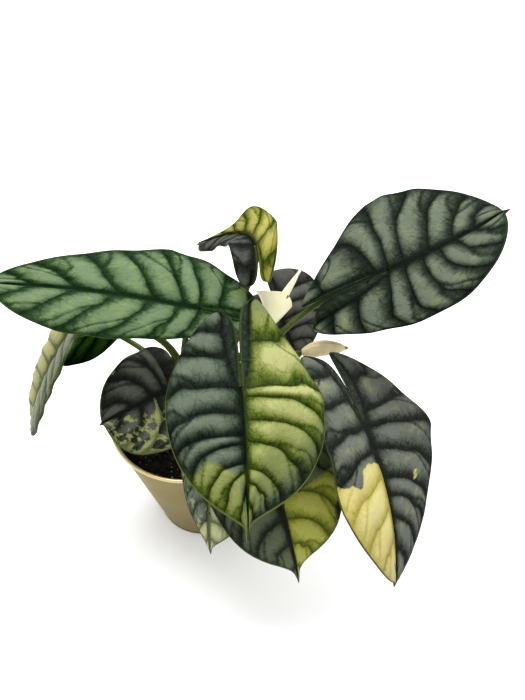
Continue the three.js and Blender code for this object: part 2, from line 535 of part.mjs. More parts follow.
// Funnel-shaped spathe: one side of its mouth runs out to a point that leans away to the left
function spatheSolid() {
  const axis = vec(...SPATHE_AXIS).normalize();
  const left = vec(-1, 0, 0).addScaledVector(axis, axis.x).normalize();
  const front = new THREE.Vector3().crossVectors(axis, left).normalize();
  const around = 20, along = 7;
  const pos = [], tri = [];
  const ring = (u, inset) => {
    for (let k = 0; k < around; k++) {
      const a = (2 * Math.PI * k) / around;
      const point = Math.max(0, Math.cos(a)) ** 2.2;
      const lip = Math.max(0, -Math.cos(a)) ** 3;
      const r = SPATHE_FOOT_RADIUS + (SPATHE_MOUTH_RADIUS - SPATHE_FOOT_RADIUS) * u ** 0.6
        + SPATHE_POINT * point * u ** 2 - inset;
      const h = SPATHE_LENGTH * u * (1 - (0.3 * point + 0.2 * lip) * u + 0.06 * Math.sin(a) * u);
      pos.push(vec(...SPATHE_BASE).addScaledVector(axis, h + inset * (1 - u))
        .addScaledVector(left, r * Math.cos(a)).addScaledVector(front, r * Math.sin(a)));
    }
  };
  for (let i = 0; i <= along; i++) ring(i / along, 0);
  for (let i = along; i >= 0; i--) ring(i / along, SPATHE_WALL);
  const rows = 2 * (along + 1);
  for (let i = 0; i < rows - 1; i++) {
    for (let k = 0; k < around; k++) {
      const a = i * around + k, b = i * around + ((k + 1) % around);
      tri.push([a, b, b + around], [a, b + around, a + around]);
    }
  }
  const c = pos.length;
  pos.push(vec(...SPATHE_BASE), vec(...SPATHE_BASE).addScaledVector(axis, SPATHE_WALL));
  for (let k = 0; k < around; k++) {
    const e = (rows - 1) * around;
    tri.push([c, (k + 1) % around, k], [c + 1, e + k, e + ((k + 1) % around)]);
  }
  return closed(pos, tri);
}
function spadixSolid() {
  const axis = vec(...SPATHE_AXIS).normalize();
  const from = vec(...SPATHE_BASE).addScaledVector(axis, SPATHE_WALL + SEAT_GAP);
  const count = 12;
  const path = Array.from({ length: count + 1 }, (_, i) => {
    const u = i / count;
    return from.clone().addScaledVector(axis, SPADIX_LENGTH * u).add(vec(1.5 * u * u, 0, 0));
  });
  const radius = (u) => (u < 0.12 ? 1.9 : 2.0 + 0.9 * Math.sin(Math.PI * Math.min(1, u * 1.15)) ** 0.7
    - 1.3 * Math.max(0, u - 0.55) / 0.45);
  return stalkSolid(path, (u) => Math.max(0.7, radius(u)), 10);
}
// Rolled spathe that has not opened: a spindle with one overlapping seam along its top
function budSolid() {
  const a = vec(...BUD_BASE), b = vec(...BUD_TIP);
  const along = b.clone().sub(a), length = along.length();
  along.normalize();
  const up = vec(0, 0, 1).addScaledVector(along, -along.z).normalize();
  const side = new THREE.Vector3().crossVectors(along, up);
  const rings = 14, around = 16, pos = [], tri = [];
  for (let i = 0; i <= rings; i++) {
    const u = i / rings;
    const swell = Math.sin(Math.PI * Math.min(1, u ** 0.85 * 1.02)) ** 0.9 * (1 - 0.15 * u);
    const r = BUD_NECK + (BUD_RADIUS - BUD_NECK) * swell;
    const tipped = u > 0.85 ? 1 - ((u - 0.85) / 0.15) * 0.55 : 1;
    for (let k = 0; k < around; k++) {
      const v = k / around, ang = 2 * Math.PI * v;
      const seam = v < 0.06 ? 0.78 : 1 + 0.08 * (1 - v);
      const q = r * tipped * seam;
      pos.push(a.clone().addScaledVector(along, length * u)
        .addScaledVector(up, q * Math.cos(ang) + 2.5 * Math.sin(Math.PI * u))
        .addScaledVector(side, q * Math.sin(ang) * 0.85));
    }
  }
  for (let i = 0; i < rings; i++) {
    for (let k = 0; k < around; k++) {
      const p = i * around + k, q = i * around + ((k + 1) % around);
      tri.push([p, q, q + around], [p, q + around, p + around]);
    }
  }
  const c = pos.length;
  const middle = (i) => {
    const m = vec(0, 0, 0);
    for (let k = 0; k < around; k++) m.add(pos[i * around + k]);
    return m.multiplyScalar(1 / around);
  };
  pos.push(middle(0), middle(rings));
  for (let k = 0; k < around; k++) {
    const e = rings * around;
    tri.push([c, (k + 1) % around, k], [c + 1, e + k, e + ((k + 1) % around)]);
  }
  return closed(pos, tri);
}

// Leaves and their stalks
const BIG_COLUMNS = [0, 0.08, 0.3, 0.62, 0.86, 1];
const SMALL_COLUMNS = [0, 0.12, 0.5, 0.84, 1];
const BIG_STEPS = [0, 0.25, 0.75];
const SMALL_STEPS = [0, 0.5];
const feet = [];
for (const [name, leaf] of Object.entries(LEAVES)) {
  const big = leaf.length > 70 && leaf.width[0] > 26;
  const blade = big ? bladeSolid(leaf, BIG_STEPS, BIG_COLUMNS) : bladeSolid(leaf, SMALL_STEPS, SMALL_COLUMNS);
  add(`blade_${name}`, blade, name);
  const spine = spineOf(leaf);
  const f = spine.find((s) => s.y === 0 || Object.is(s.y, -0));
  const stalk = STALKS[name];
  const end = vec(...leaf.at).addScaledVector(f.n, -(BLADE_THICKNESS + MIDRIB_HEIGHT + SEAT_GAP));
  const along = f.n.clone().addScaledVector(f.t, stalk.arrive)
    .addScaledVector(f.b, stalk.lean ?? 0).normalize();
  const pull = end.clone().addScaledVector(along, -stalk.reach);
  const path = curvePath(stalk.foot, stalk.rise, end, pull, STALK_STEPS);
  const radius = (u) => STALK_BASE_RADIUS
    + (STALK_TOP_RADIUS - STALK_BASE_RADIUS) * Math.min(1, u * STALK_TAPER);
  add(`stalk_${name}`, stalkSolid(path, radius, STALK_SIDES, { along, normal: f.n }), 'stalk');
  feet.push(stalk.foot);
}
// Flowers on their own stalks
function addPeduncle(name, flower, base, axis) {
  const { foot, rise } = flower;
  const end = vec(...base).addScaledVector(axis, -SEAT_GAP);
  const path = curvePath(foot, rise, end, end.clone().addScaledVector(axis, -PEDUNCLE_PULL), STALK_STEPS);
  const radius = (u) => PEDUNCLE_BASE_RADIUS + (PEDUNCLE_TOP_RADIUS - PEDUNCLE_BASE_RADIUS) * u;
  add(name, stalkSolid(path, radius, STALK_SIDES, { along: axis, normal: axis }), 'stalk');
  feet.push(foot);
}
addPeduncle('flower_stalk_open', PEDUNCLES.spathe, SPATHE_BASE, vec(...SPATHE_AXIS).normalize());
addPeduncle('flower_stalk_rolled', PEDUNCLES.bud, BUD_BASE,
  vec(...BUD_TIP).sub(vec(...BUD_BASE)).normalize());
add('spathe_open', spatheSolid(), 'spathe');
add('spadix', spadixSolid(), 'spadix');
add('spathe_rolled', budSolid(), 'bud');
let soil = toManifold(soilSolid());
for (const [x, y] of feet) {
  const low = SOIL_TOP - ROOTED_DEPTH - SEAT_GAP, high = SOIL_TOP + HOLE_ABOVE;
  const radius = STALK_BASE_RADIUS + HOLE_PLAY;
  const hole = new THREE.CylinderGeometry(radius, radius, high - low, HOLE_SIDES)
    .rotateX(Math.PI / 2).translate(x, y, (high + low) / 2);
  soil = soil.subtract(toManifold(hole));
}
add('soil', fromManifold(soil), 'soil');

export default plant;
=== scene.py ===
# Looks of the potted variegated alocasia, built around its solids.
# Shapes are worked out in millimetres, in the frame's own axes, and turned into metres as meshes are made.
from math import cos, pi, radians, sin, sqrt
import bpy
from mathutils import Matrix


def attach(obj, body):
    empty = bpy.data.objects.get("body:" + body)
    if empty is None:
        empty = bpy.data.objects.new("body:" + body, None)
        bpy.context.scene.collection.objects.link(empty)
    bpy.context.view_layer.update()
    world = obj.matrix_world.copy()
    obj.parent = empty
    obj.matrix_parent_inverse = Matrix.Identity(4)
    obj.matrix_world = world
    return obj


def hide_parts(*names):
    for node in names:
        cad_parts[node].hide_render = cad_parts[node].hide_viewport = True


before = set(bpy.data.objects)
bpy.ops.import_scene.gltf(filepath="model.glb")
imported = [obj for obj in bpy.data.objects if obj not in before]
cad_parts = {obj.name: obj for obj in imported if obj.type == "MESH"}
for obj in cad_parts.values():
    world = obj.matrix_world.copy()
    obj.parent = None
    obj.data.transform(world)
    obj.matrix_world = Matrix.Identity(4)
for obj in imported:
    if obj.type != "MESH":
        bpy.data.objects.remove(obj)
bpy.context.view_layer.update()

from types import SimpleNamespace

import bpy
import numpy as np
from mathutils import Vector

MM = 0.001

# Driving dimensions, as in the solids
POT_HEIGHT = 125
POT_RIM_RADIUS = 60
POT_FOOT_RADIUS = 40
POT_WALL = 1.4
POT_FLOOR = 2.5
RIM_BEAD_RADIUS = 1.3
FOOT_BAND_HEIGHT = 3
FOOT_BAND_STEP = 0.4
SOIL_TOP = 113
SOIL_LUMP = 1.3
BLADE_THICKNESS = 1.0
EDGE_THICKNESS = 0.7
MIDRIB_HEIGHT = 1.1
MIDRIB_HALF = 0.6
GAP_HALF = 0.08
GAP_SHUT = 0.92
GAP_TURN = 0.12
DRIP_HALF = 1.4
BENT_VEIN = (0.9, 0.22, 0.12)
STRAIGHT_VEIN = (0.6, 0.42, 0.05)
RIB_CURVE = 0.75
FULL_PAD = 9
STALK_BASE_RADIUS = 3.2
STALK_TOP_RADIUS = 1.8
FAR_AWAY = 99.0
X_AXIS = np.array([1.0, 0, 0])
Y_AXIS = np.array([0, 1.0, 0])


def even_veins(low, high):
    """Side veins at even steps: low of them between the lobe's end and the stalk, high up to the tip."""
    first = [(k / low - 1, 0.36 * k / low) for k in range(1, low + 1)]
    return first + [(k / high, 0.36 + 0.64 * (k / high) ** 0.92) for k in range(1, high)]


# What most leaves share. Angles are in degrees and lengths in millimetres.
PLAIN_LEAF = dict(
    bend_power=1.3, sweep=(0, 0), twist=(0, 0), cup=(20, 20), spread=(0.36, 0.36), brow=(0.42, 0.42),
    flank=(0.62, 0.62), rib=(0.2, 0.2), course=(BENT_VEIN, BENT_VEIN))

# Leaves, as in the solids. veins: for each half, where each side vein starts, from -1 at the lobe's end
# over 0 at the stalk to 1 at the tip, and where it meets the margin, from 0 to 1.
# rib: how far in from the gap between the lobes the vein of each lobe runs. turn: heading, pitch and roll.
# bend, sweep, twist: first towards the tip, then towards the lobes.
LEAVES = {
    "front": dict(at=(40.7, -41, 198.4), turn=(-84.5, -15.3, -8), length=86, lobe=(60, 49.5),
        width=(48, 44), bend=(34, -9.5), sweep=(0.5, 0), fold=(6, 12), cup=(11, 20), spread=(0.25, 0.27),
        wide=(0.1, 0.12), brow=(0.06, 0.22), flank=(0.13, 0.44), shoulder=(0.84, 0.72), tip=(0.15, 0.13),
        tipw=(0.01, 0.13), drip=8, relief=2.2, wave=(1.2, 3.2, 0.4), rib=(0.24, 0.26),
        veins=([(-0.45, 0.19), (0, 0.42), (0.06, 0.53), (0.22, 0.63), (0.36, 0.74), (0.53, 0.83),
        (0.62, 0.88), (0.75, 0.93)], [(-0.62, 0.15), (-0.33, 0.25), (0, 0.42), (0.18, 0.55), (0.33, 0.62),
        (0.38, 0.71), (0.5, 0.79), (0.55, 0.86), (0.68, 0.93)])),
    "right": dict(at=(133.4, 31.9, 229.1), turn=(-14, 37.7, 24.5), length=76, lobe=(70.3, 60.3),
        width=(62.8, 41.6), bend=(11.5, 3.4), sweep=(-17.3, 0), fold=(-2.8, 7.3), cup=(2, 20),
        spread=(0.01, 0.52), wide=(-0.16, 0.19), brow=(0.07, 0.22), flank=(0.14, 0.49),
        shoulder=(0.76, 0.68), tip=(0, 0), tipw=(0.13, 0.21), drip=4, relief=2.0, wave=(0.9, 2.6, 1.1),
        rib=(0.12, 0.42), veins=([(-0.7, 0.1), (-0.12, 0.24), (0, 0.42), (0.13, 0.62), (0.36, 0.76),
        (0.55, 0.86), (0.72, 0.93)], [(-0.6, 0.14), (-0.3, 0.28), (0, 0.44), (0.14, 0.56), (0.29, 0.67),
        (0.43, 0.78), (0.57, 0.86), (0.73, 0.93)])),
    "left": dict(at=(11.6, 17.5, 208.5), turn=(190.7, 25, -28.7), length=128.5, lobe=(44.8, 49.9),
        width=(28.8, 37.5), bend=(22, 10.7), sweep=(-4.1, 0), fold=(9, 7.3), cup=(20, 16),
        spread=(0.03, 0.06), wide=(0.5, 0.16), brow=(0.28, 0.39), flank=(0.43, 0.51), shoulder=(0.67, 0.01),
        tip=(0, 0), tipw=(0.21, 0.33), drip=6, relief=1.7, wave=(1.3, 4.2, 0.2), rib=(0.2, 0.3),
        course=(STRAIGHT_VEIN, STRAIGHT_VEIN), veins=([(-0.4, 0.2), (0, 0.34), (0.1, 0.46), (0.25, 0.6),
        (0.42, 0.73), (0.6, 0.84), (0.78, 0.93)], [(-0.6, 0.12), (-0.26, 0.23), (0, 0.36), (0.08, 0.47),
        (0.23, 0.58), (0.4, 0.7), (0.59, 0.84), (0.78, 0.93)])),
    "hanging": dict(at=(116.6, -40.8, 163.3), turn=(-73, -14.3, -19.5), length=100.5, lobe=(58.6, 54.5),
        width=(55.9, 35.1), bend=(46, 13.6), sweep=(-2.2, 0), fold=(4, 8.6), cup=(7.5, 16),
        spread=(0.04, 0.67), wide=(0.06, 0.47), brow=(0.3, 0.34), flank=(0.22, 0.5), shoulder=(0, 0.21),
        tip=(0.02, 0), tipw=(0.1, 0.15), drip=4, relief=2.0, wave=(1.1, 3.0, 2.0), rib=(0.25, 0.3),
        course=(BENT_VEIN, STRAIGHT_VEIN), veins=([(-0.5, 0.14), (-0.13, 0.3), (0.03, 0.45), (0.17, 0.61),
        (0.35, 0.71), (0.45, 0.78), (0.57, 0.86), (0.76, 0.93)], [(-0.58, 0.15), (-0.26, 0.29),
        (0.03, 0.43), (0.18, 0.56), (0.34, 0.68), (0.52, 0.8), (0.7, 0.9)])),
    "low": dict(at=(43.9, -26, 146.2), turn=(-69.4, -3.2, 4.5), length=120, lobe=(14, 14),
        width=(48.2, 43.5), bend=(71, 4), sweep=(2.8, 0), bend_power=1.0, fold=(14, 10), wide=(0.13, 0.17),
        shoulder=(0.96, 0.81), tip=(0.28, 0.23), tipw=(0, 0.06), drip=8, relief=1.8, wave=(1.0, 3.0, 0.9),
        veins=(even_veins(1, 7), even_veins(1, 7))),
    "middle": dict(at=(-11.6, -5.5, 153.3), turn=(-149, 0, -8.8), length=54, lobe=(9, 11),
        width=(39.2, 40.8), bend=(30.4, 3.5), sweep=(9.3, 0), fold=(7.8, 12), cup=(19, 19),
        spread=(0.5, 0.6), wide=(0.26, 0.06), brow=(0.42, 0.46), flank=(0.62, 0.67), shoulder=(0.94, 0.86),
        tip=(0.11, 0), tipw=(0.06, 0.09), drip=3, relief=1.5, wave=(0.8, 2.4, 0.3), veins=([(-0.01, 0.38),
        (0.2, 0.56), (0.42, 0.72), (0.7, 0.86)], [(-0.02, 0.24), (0.07, 0.46), (0.25, 0.68), (0.52, 0.87)])),
    "small": dict(at=(17.4, -33.4, 138.2), turn=(-91.6, -7.6, 4.6), length=83.5, lobe=(12, 12),
        width=(29.8, 19.6), bend=(68, 4), sweep=(1.8, 0), bend_power=1.0, fold=(9, 8), spread=(0.4, 0.4),
        wide=(0.34, 0.03), shoulder=(0.74, 0.61), tip=(0.16, 0.19), tipw=(0.07, 0.07), drip=6, relief=1.2,
        wave=(0.8, 3.0, 1.5), veins=(even_veins(1, 6), even_veins(1, 6))),
    "far": dict(at=(-82, 18, 183), turn=(203, -51, 3), length=87, lobe=(28, 28), width=(27, 28),
        bend=(17, 20), fold=(16, 17), cup=(29, 33), wide=(0.68, 0.6), shoulder=(0.9, 0.9), tip=(0.06, 0.06),
        tipw=(0.6, 0.45), drip=3, relief=1.9, wave=(0.5, 4.5, 0.7),
        veins=(even_veins(2, 6), even_veins(2, 6))),
    "under": dict(at=(-69, 51, 160), turn=(168, -24, -3), length=69, lobe=(24, 24), width=(36, 28),
        bend=(16, 0), fold=(10, 8), wide=(0.12, 0.1), shoulder=(0.62, 0.62), tip=(0.34, 0.34),
        tipw=(0.05, 0.05), drip=4, relief=1.0, wave=(0.5, 2.2, 0.0),
        veins=(even_veins(2, 5), even_veins(2, 5))),
    "curled": dict(at=(48, 66, 225), turn=(99, -7, -11), length=75.5, lobe=(35.6, 32.5), width=(19.6, 21.6),
        bend=(46, 56), sweep=(-78, -22), twist=(-55, 20), fold=(23, 42), cup=(20, 16), spread=(0.36, 0.56),
        wide=(0.36, 0.16), brow=(0.55, 0.36), flank=(0.79, 0.58), shoulder=(0.95, 0.52), tip=(0.05, 0.9),
        tipw=(1.0, 0.04), drip=2.4, relief=1.3, wave=(1.0, 2.5, 0.5),
        veins=(even_veins(2, 6), even_veins(2, 6))),
    "back": dict(at=(61, 77, 167), turn=(-55, -50, 17), length=58, lobe=(20, 8), width=(37, 26),
        bend=(16, -1), sweep=(-3, 0), fold=(9, 8), spread=(0.12, 0.41), wide=(0.04, 0.1),
        shoulder=(0.82, 0.82), tip=(0.05, 0.05), tipw=(0.11, 0.11), drip=3, relief=1.2,
        wave=(0.7, 2.0, 0.8), veins=(even_veins(1, 6), even_veins(1, 5))),
}
LEAVES = {name: SimpleNamespace(**{**PLAIN_LEAF, **leaf}) for name, leaf in LEAVES.items()}

# Stalks, as in the solids
STALKS = {
    "front": dict(foot=(5, -6), rise=(2, 2, 42), arrive=0.5, reach=26),
    "right": dict(foot=(13, 6), rise=(50, 11, 62), arrive=3.5, lean=0.8, reach=110),
    "left": dict(foot=(-2, 5), rise=(-4, 6, 44), arrive=-0.2, reach=20),
    "hanging": dict(foot=(12, -11), rise=(26, 12, 64), arrive=1.5, reach=30),
    "low": dict(foot=(5, -15), rise=(4, 0, 14), arrive=0.9, reach=14),
    "middle": dict(foot=(-9, -4), rise=(0, 0, 12), arrive=0.2, reach=9),
    "small": dict(foot=(-4, -14), rise=(2, 0, 10), arrive=0.6, reach=12),
    "far": dict(foot=(-4, 14), rise=(2, 9, 88), arrive=0.7, reach=34),
    "under": dict(foot=(-12, 9), rise=(-2, 7, 46), arrive=0.8, reach=26),
    "curled": dict(foot=(4, 16), rise=(6, 12, 44), arrive=0.1, reach=26),
    "back": dict(foot=(11, 14), rise=(8, 16, 26), arrive=0.4, reach=22),
}
SPATHE_BASE = np.array([56.0, 42, 172])
SPATHE_AXIS = (0.5, 0.6, 0.62)
SPATHE_LENGTH = 24
SPATHE_FOOT_RADIUS = 3.4
SPATHE_POINT = 10
SPATHE_MOUTH_RADIUS = 9.2
SPATHE_WALL = 1.0
SPADIX_LENGTH = 46
BUD_BASE = np.array([81.0, 24, 161])
BUD_TIP = np.array([114, 24, 165.5])
BUD_RADIUS = 6.5
PEDUNCLES = {
    "open": dict(foot=(6, 5), rise=(14, 12, 30), pull=17, radii=(2.8, 2.1)),
    "rolled": dict(foot=(15, -3), rise=(26, 4, 24), pull=17, radii=(2.8, 2.1)),
}


# Small helpers
def unit(v):
    v = np.asarray(v, float)
    return v / np.linalg.norm(v)


def smooth(x, low, high):
    t = np.clip((x - low) / (high - low), 0, 1)
    return t * t * (3 - 2 * t)


def bezier(points, count):
    t = np.linspace(0, 1, count)[:, None]
    s = 1 - t
    p = [np.asarray(q, float) for q in points]
    return p[0] * s**3 + 3 * p[1] * s * s * t + 3 * p[2] * s * t * t + p[3] * t**3


def resample(line, share):
    step = np.linalg.norm(np.diff(line, axis=0), axis=1)
    d = np.concatenate([[0], np.cumsum(step)])
    return np.stack([np.interp(share, d / d[-1], line[:, k]) for k in range(line.shape[1])], -1)


def srgb(*rgb, light=1.0):
    """A colour in screen values from 0 to 255, as linear colour. light: how brightly it is lit there."""
    c = np.array(rgb, float) / 255
    lin = np.where(c <= 0.04045, c / 12.92, ((c + 0.055) / 1.055) ** 2.4) / light
    return (*(float(x) for x in lin), 1.0)


def soft_noise(p, seed, size):
    """Smooth noise from -1 to 1 at points p of two columns, with bumps about size across."""
    table = np.random.RandomState(seed).uniform(-1, 1, (64, 64))
    q = np.asarray(p, float) / size
    cell = np.floor(q).astype(int)
    f = q - cell
    f = f * f * (3 - 2 * f)
    at = lambda i, j: table[(cell[..., 0] + i) % 64, (cell[..., 1] + j) % 64]
    low = at(0, 0) * (1 - f[..., 0]) + at(1, 0) * f[..., 0]
    high = at(0, 1) * (1 - f[..., 0]) + at(1, 1) * f[..., 0]
    return low * (1 - f[..., 1]) + high * f[..., 1]


def new_object(name, data):
    thing = bpy.data.objects.new(name, data)
    bpy.context.scene.collection.objects.link(thing)
    return thing


def new_piece(name, shape, material, node, values=None, smooth_shade=True):
    """shape: points in millimetres, and faces. values: for each name, one number for each point."""
    mesh = bpy.data.meshes.new(name)
    mesh.from_pydata((np.asarray(shape[0]) * MM).tolist(), [], [list(f) for f in shape[1]])
    for key, data in (values or {}).items():
        mesh.attributes.new(key, "FLOAT", "POINT").data.foreach_set("value", np.asarray(data, np.float32))
    if smooth_shade:
        mesh.shade_smooth()
    else:
        mesh.shade_flat()
    mesh.materials.append(material)
    mesh.update()
    piece = new_object(name, mesh)
    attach(piece, "root")
    if node:
        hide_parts(node)


def round_angles(count):
    return 2 * pi * np.arange(count) / count


def circle(centre, x_axis, y_axis, radius, angle):
    """Points round a centre. radius: one number, or one for each angle."""
    return centre + (radius * np.cos(angle))[:, None] * x_axis + (radius * np.sin(angle))[:, None] * y_axis


def ring_faces(count, around):
    """Faces of a closed skin over count equal rings, whose two end points come after the rings."""
    faces = []
    for i in range(count - 1):
        for k in range(around):
            a, b = i * around + k, i * around + (k + 1) % around
            faces.append([a, b, b + around, a + around])
    end = (count - 1) * around
    for k in range(around):
        faces.append([count * around, (k + 1) % around, k])
        faces.append([count * around + 1, end + k, end + (k + 1) % around])
    return faces


def skin_over(rings):
    """Points and faces of a closed skin over equal rings."""
    ends = [rings[0].mean(0)[None], rings[-1].mean(0)[None]]
    return np.concatenate(rings + ends), ring_faces(len(rings), len(rings[0]))


# Leaf shape
LOBE_POINTS = 61
SIDE_POINTS = 81
TIP_POINTS = 13
SPINE_STEPS = 120
LOBE_STEPS = 50
PAST_LOBE = 1.3
# Rows from one side vein to the next, and columns from the midrib to the margin
STEPS = np.arange(14) / 14
COLUMNS = np.linspace(0, 1, 43)


def outline_of(leaf, side):
    """The margin from the lobe's end to the tip, and the gap's edge from the lobe's end to the stalk."""
    half, length, lobe, drip = leaf.width[side], leaf.length, leaf.lobe[side], leaf.drip
    pairs = (leaf.brow, leaf.flank, leaf.shoulder, leaf.tip, leaf.tipw)
    brow, flank, shoulder, tip, tipw = (pair[side] for pair in pairs)
    lobe_x, wide_y, neck_y = leaf.spread[side] * half, leaf.wide[side] * length, length - drip
    low = bezier([(lobe_x, -lobe), (lobe_x + brow * (half - lobe_x), -lobe * 1.02 - 0.02 * length),
                  (half, wide_y - flank * (wide_y + lobe)), (half, wide_y)], LOBE_POINTS)
    high = bezier([(half, wide_y), (half, wide_y + shoulder * (neck_y - wide_y)),
                   (DRIP_HALF + tipw * half, neck_y - tip * (neck_y - wide_y)), (DRIP_HALF, neck_y)],
                  SIDE_POINTS)
    end = bezier([(DRIP_HALF, neck_y), (0.43 * DRIP_HALF, neck_y + 0.3 * drip),
                  (0.29 * DRIP_HALF, length - 0.3 * drip), (0, length)], TIP_POINTS)
    inner = bezier([(lobe_x, -lobe), (GAP_TURN * lobe_x, -lobe * 0.98), (0, -lobe * GAP_SHUT), (0, 0)],
                   LOBE_POINTS)
    return np.vstack([low, high[1:], end[1:]]), inner


def turned(p, q, angle):
    """Two directions turned in their own plane, by one angle for each row."""
    c, s = np.cos(angle)[:, None], np.sin(angle)[:, None]
    return p * c - q * s, q * c + p * s


def spine_of(leaf):
    """Frames along the midrib from the lobes' ends to the tip: y, place, along, across, up."""
    heading, pitch, roll = (radians(angle) for angle in leaf.turn)
    level = (cos(heading), sin(heading))
    t0 = np.array([cos(pitch) * level[0], cos(pitch) * level[1], sin(pitch)])
    flat = unit(np.cross(t0, (0, 0, 1)))
    up = np.cross(flat, t0)
    b0 = flat * cos(roll) - up * sin(roll)
    n0 = np.cross(b0, t0)

    def march(way, end, full, count, power):
        bend, sweep, twist = (radians(angles[way]) for angles in (leaf.bend, leaf.sweep, leaf.twist))
        y = np.linspace(0, end, count)
        u = y / full
        t, n = turned(t0, n0, bend * u**power)
        b, t = turned(b0, t, sweep * u)
        b, n = turned(b, n, twist * u)
        m = np.zeros_like(t)
        m[1:] = np.cumsum(0.5 * (t[1:] + t[:-1]) * (end / (count - 1)), axis=0)
        return y, m, t, b, n

    lobe = max(leaf.lobe)
    front = march(0, leaf.length, leaf.length, SPINE_STEPS, leaf.bend_power)
    back = march(1, -PAST_LOBE * lobe, lobe, LOBE_STEPS, 1)
    return [np.concatenate([q[:0:-1], f]) for q, f in zip(back, front)]


def on_blade(leaf, spine, xy, side, lift, level):
    """Leaf coordinates to space. lift: distance along the blade's normal. level: 1 on the midrib."""
    x, y = xy[..., 0], xy[..., 1]
    at = lambda q: np.stack([np.interp(y, spine[0], q[:, k]) for k in range(3)], -1)
    m, b, n = at(spine[1]), at(spine[3]), at(spine[4])
    half = leaf.width[side]
    fold, bend = radians(leaf.fold[side]), radians(leaf.cup[side]) / half
    across = (sin(fold) - np.sin(fold - bend * x)) / bend
    rise = (np.cos(fold - bend * x) - cos(fold)) / bend
    slope = (fold - bend * x) * (1 - level)
    across = across - lift * np.sin(slope)
    rise = rise + lift * np.cos(slope)
    high, count, shift = leaf.wave
    share = np.clip(x / half, 0, 1.2)
    rise = rise + high * share**2 * np.sin(2 * pi * count * y / leaf.length + shift + side * 2)
    sign = -1 if side == 0 else 1
    return np.array(leaf.at) + m + b * (sign * across)[..., None] + n * rise[..., None]


# How high a pad is on its way from the midrib, or the lobe's own vein, to the margin
PAD_ACROSS = np.array([(0, 0), (0.08, 0.62), (0.22, 1), (0.62, 1), (0.86, 0.7), (1, 0.12)])
STRIP_HEIGHT = 0.45
STRIP_CREST = 0.3
VEIN_WANDER = 0.09
VEIN_ROUND = 0.012
FORK_DEPTH = 0.4
FORK_HALF = 1.3
FORK_ROOM = 4
PAD_BLUNT = 0.3
RIB_TAPER = 0.85
EDGE_FADE = 3
PUCKER_HEIGHT = 0.12
PUCKER_SIZE = 2.6
NOT_KEPT = ("x", "y", "t", "strip")


def vein_rows(leaf, side, phases):
    """Leaf coordinates of rows that run from the midrib, or the gap between the lobes, to the margin."""
    stops = np.array([(-1, 0), *leaf.veins[side], (1, 1)])
    index = np.arange(len(stops))
    base = np.interp(phases, index, stops[:, 0])
    margin = np.interp(phases, index, stops[:, 1])
    outer, inner = outline_of(leaf, side)
    rib = np.stack([MIDRIB_HALF * np.clip((1 - base) * 8, 0, 1), leaf.length * base], -1)
    gap_edge = resample(inner, np.clip(base + 1, 0, 1))
    gap_edge[:, 0] = np.maximum(gap_edge[:, 0], GAP_HALF)
    start = np.where((base < 0)[:, None], gap_edge, rib)
    edge = resample(outer, margin)
    dx, dy = (edge - start).T
    reach, turn, bow = leaf.course[side]
    control = start + np.stack([reach * dx, turn * dy - bow * dx], -1)
    t = COLUMNS[None, :, None]
    xy = start[:, None] * (1 - t) ** 2 + 2 * control[:, None] * t * (1 - t) + edge[:, None] * t * t
    return base, xy


def rib_share(leaf, side, base):
    """Where the lobe's own vein crosses a row, as a share of the row."""
    return leaf.rib[side] * np.clip(-base, 0, 1) ** RIB_CURVE


def wandering(leaf, side, phases, t):
    """Adds a small natural wander to the side veins between their two ends."""
    count = len(leaf.veins[side]) + 1
    seed = int(leaf.length * 7 + side)
    grid = np.stack(np.broadcast_arrays(1.7 * phases[:, None], 5.0 * t), -1)
    free = np.clip(np.minimum(phases, count - phases), 0, 1)[:, None] * smooth(t, 0.05, 0.3)
    return phases[:, None] + VEIN_WANDER * free * soft_noise(grid, seed, 1.0)


def fork_distance(leaf, side, panel, frac, t, apart):
    """Millimetres across to the smaller vein that forks off inside each pad; negative on its near side."""
    count = len(leaf.veins[side]) + 1
    rng = np.random.RandomState(int(leaf.length * 3 + side))
    start = rng.uniform(0.3, 0.6, count)
    reach = rng.uniform(0.4, 0.62, count)
    other = rng.uniform(size=count) < 0.4
    u = (t - start[panel]) / (1 - start[panel])
    line = np.where(u > 0, reach[panel] * np.sin(0.5 * pi * np.clip(u, 0, 1)) ** 0.8, 0.8 * u)
    return (np.where(other[panel], 1 - frac, frac) - line) * apart


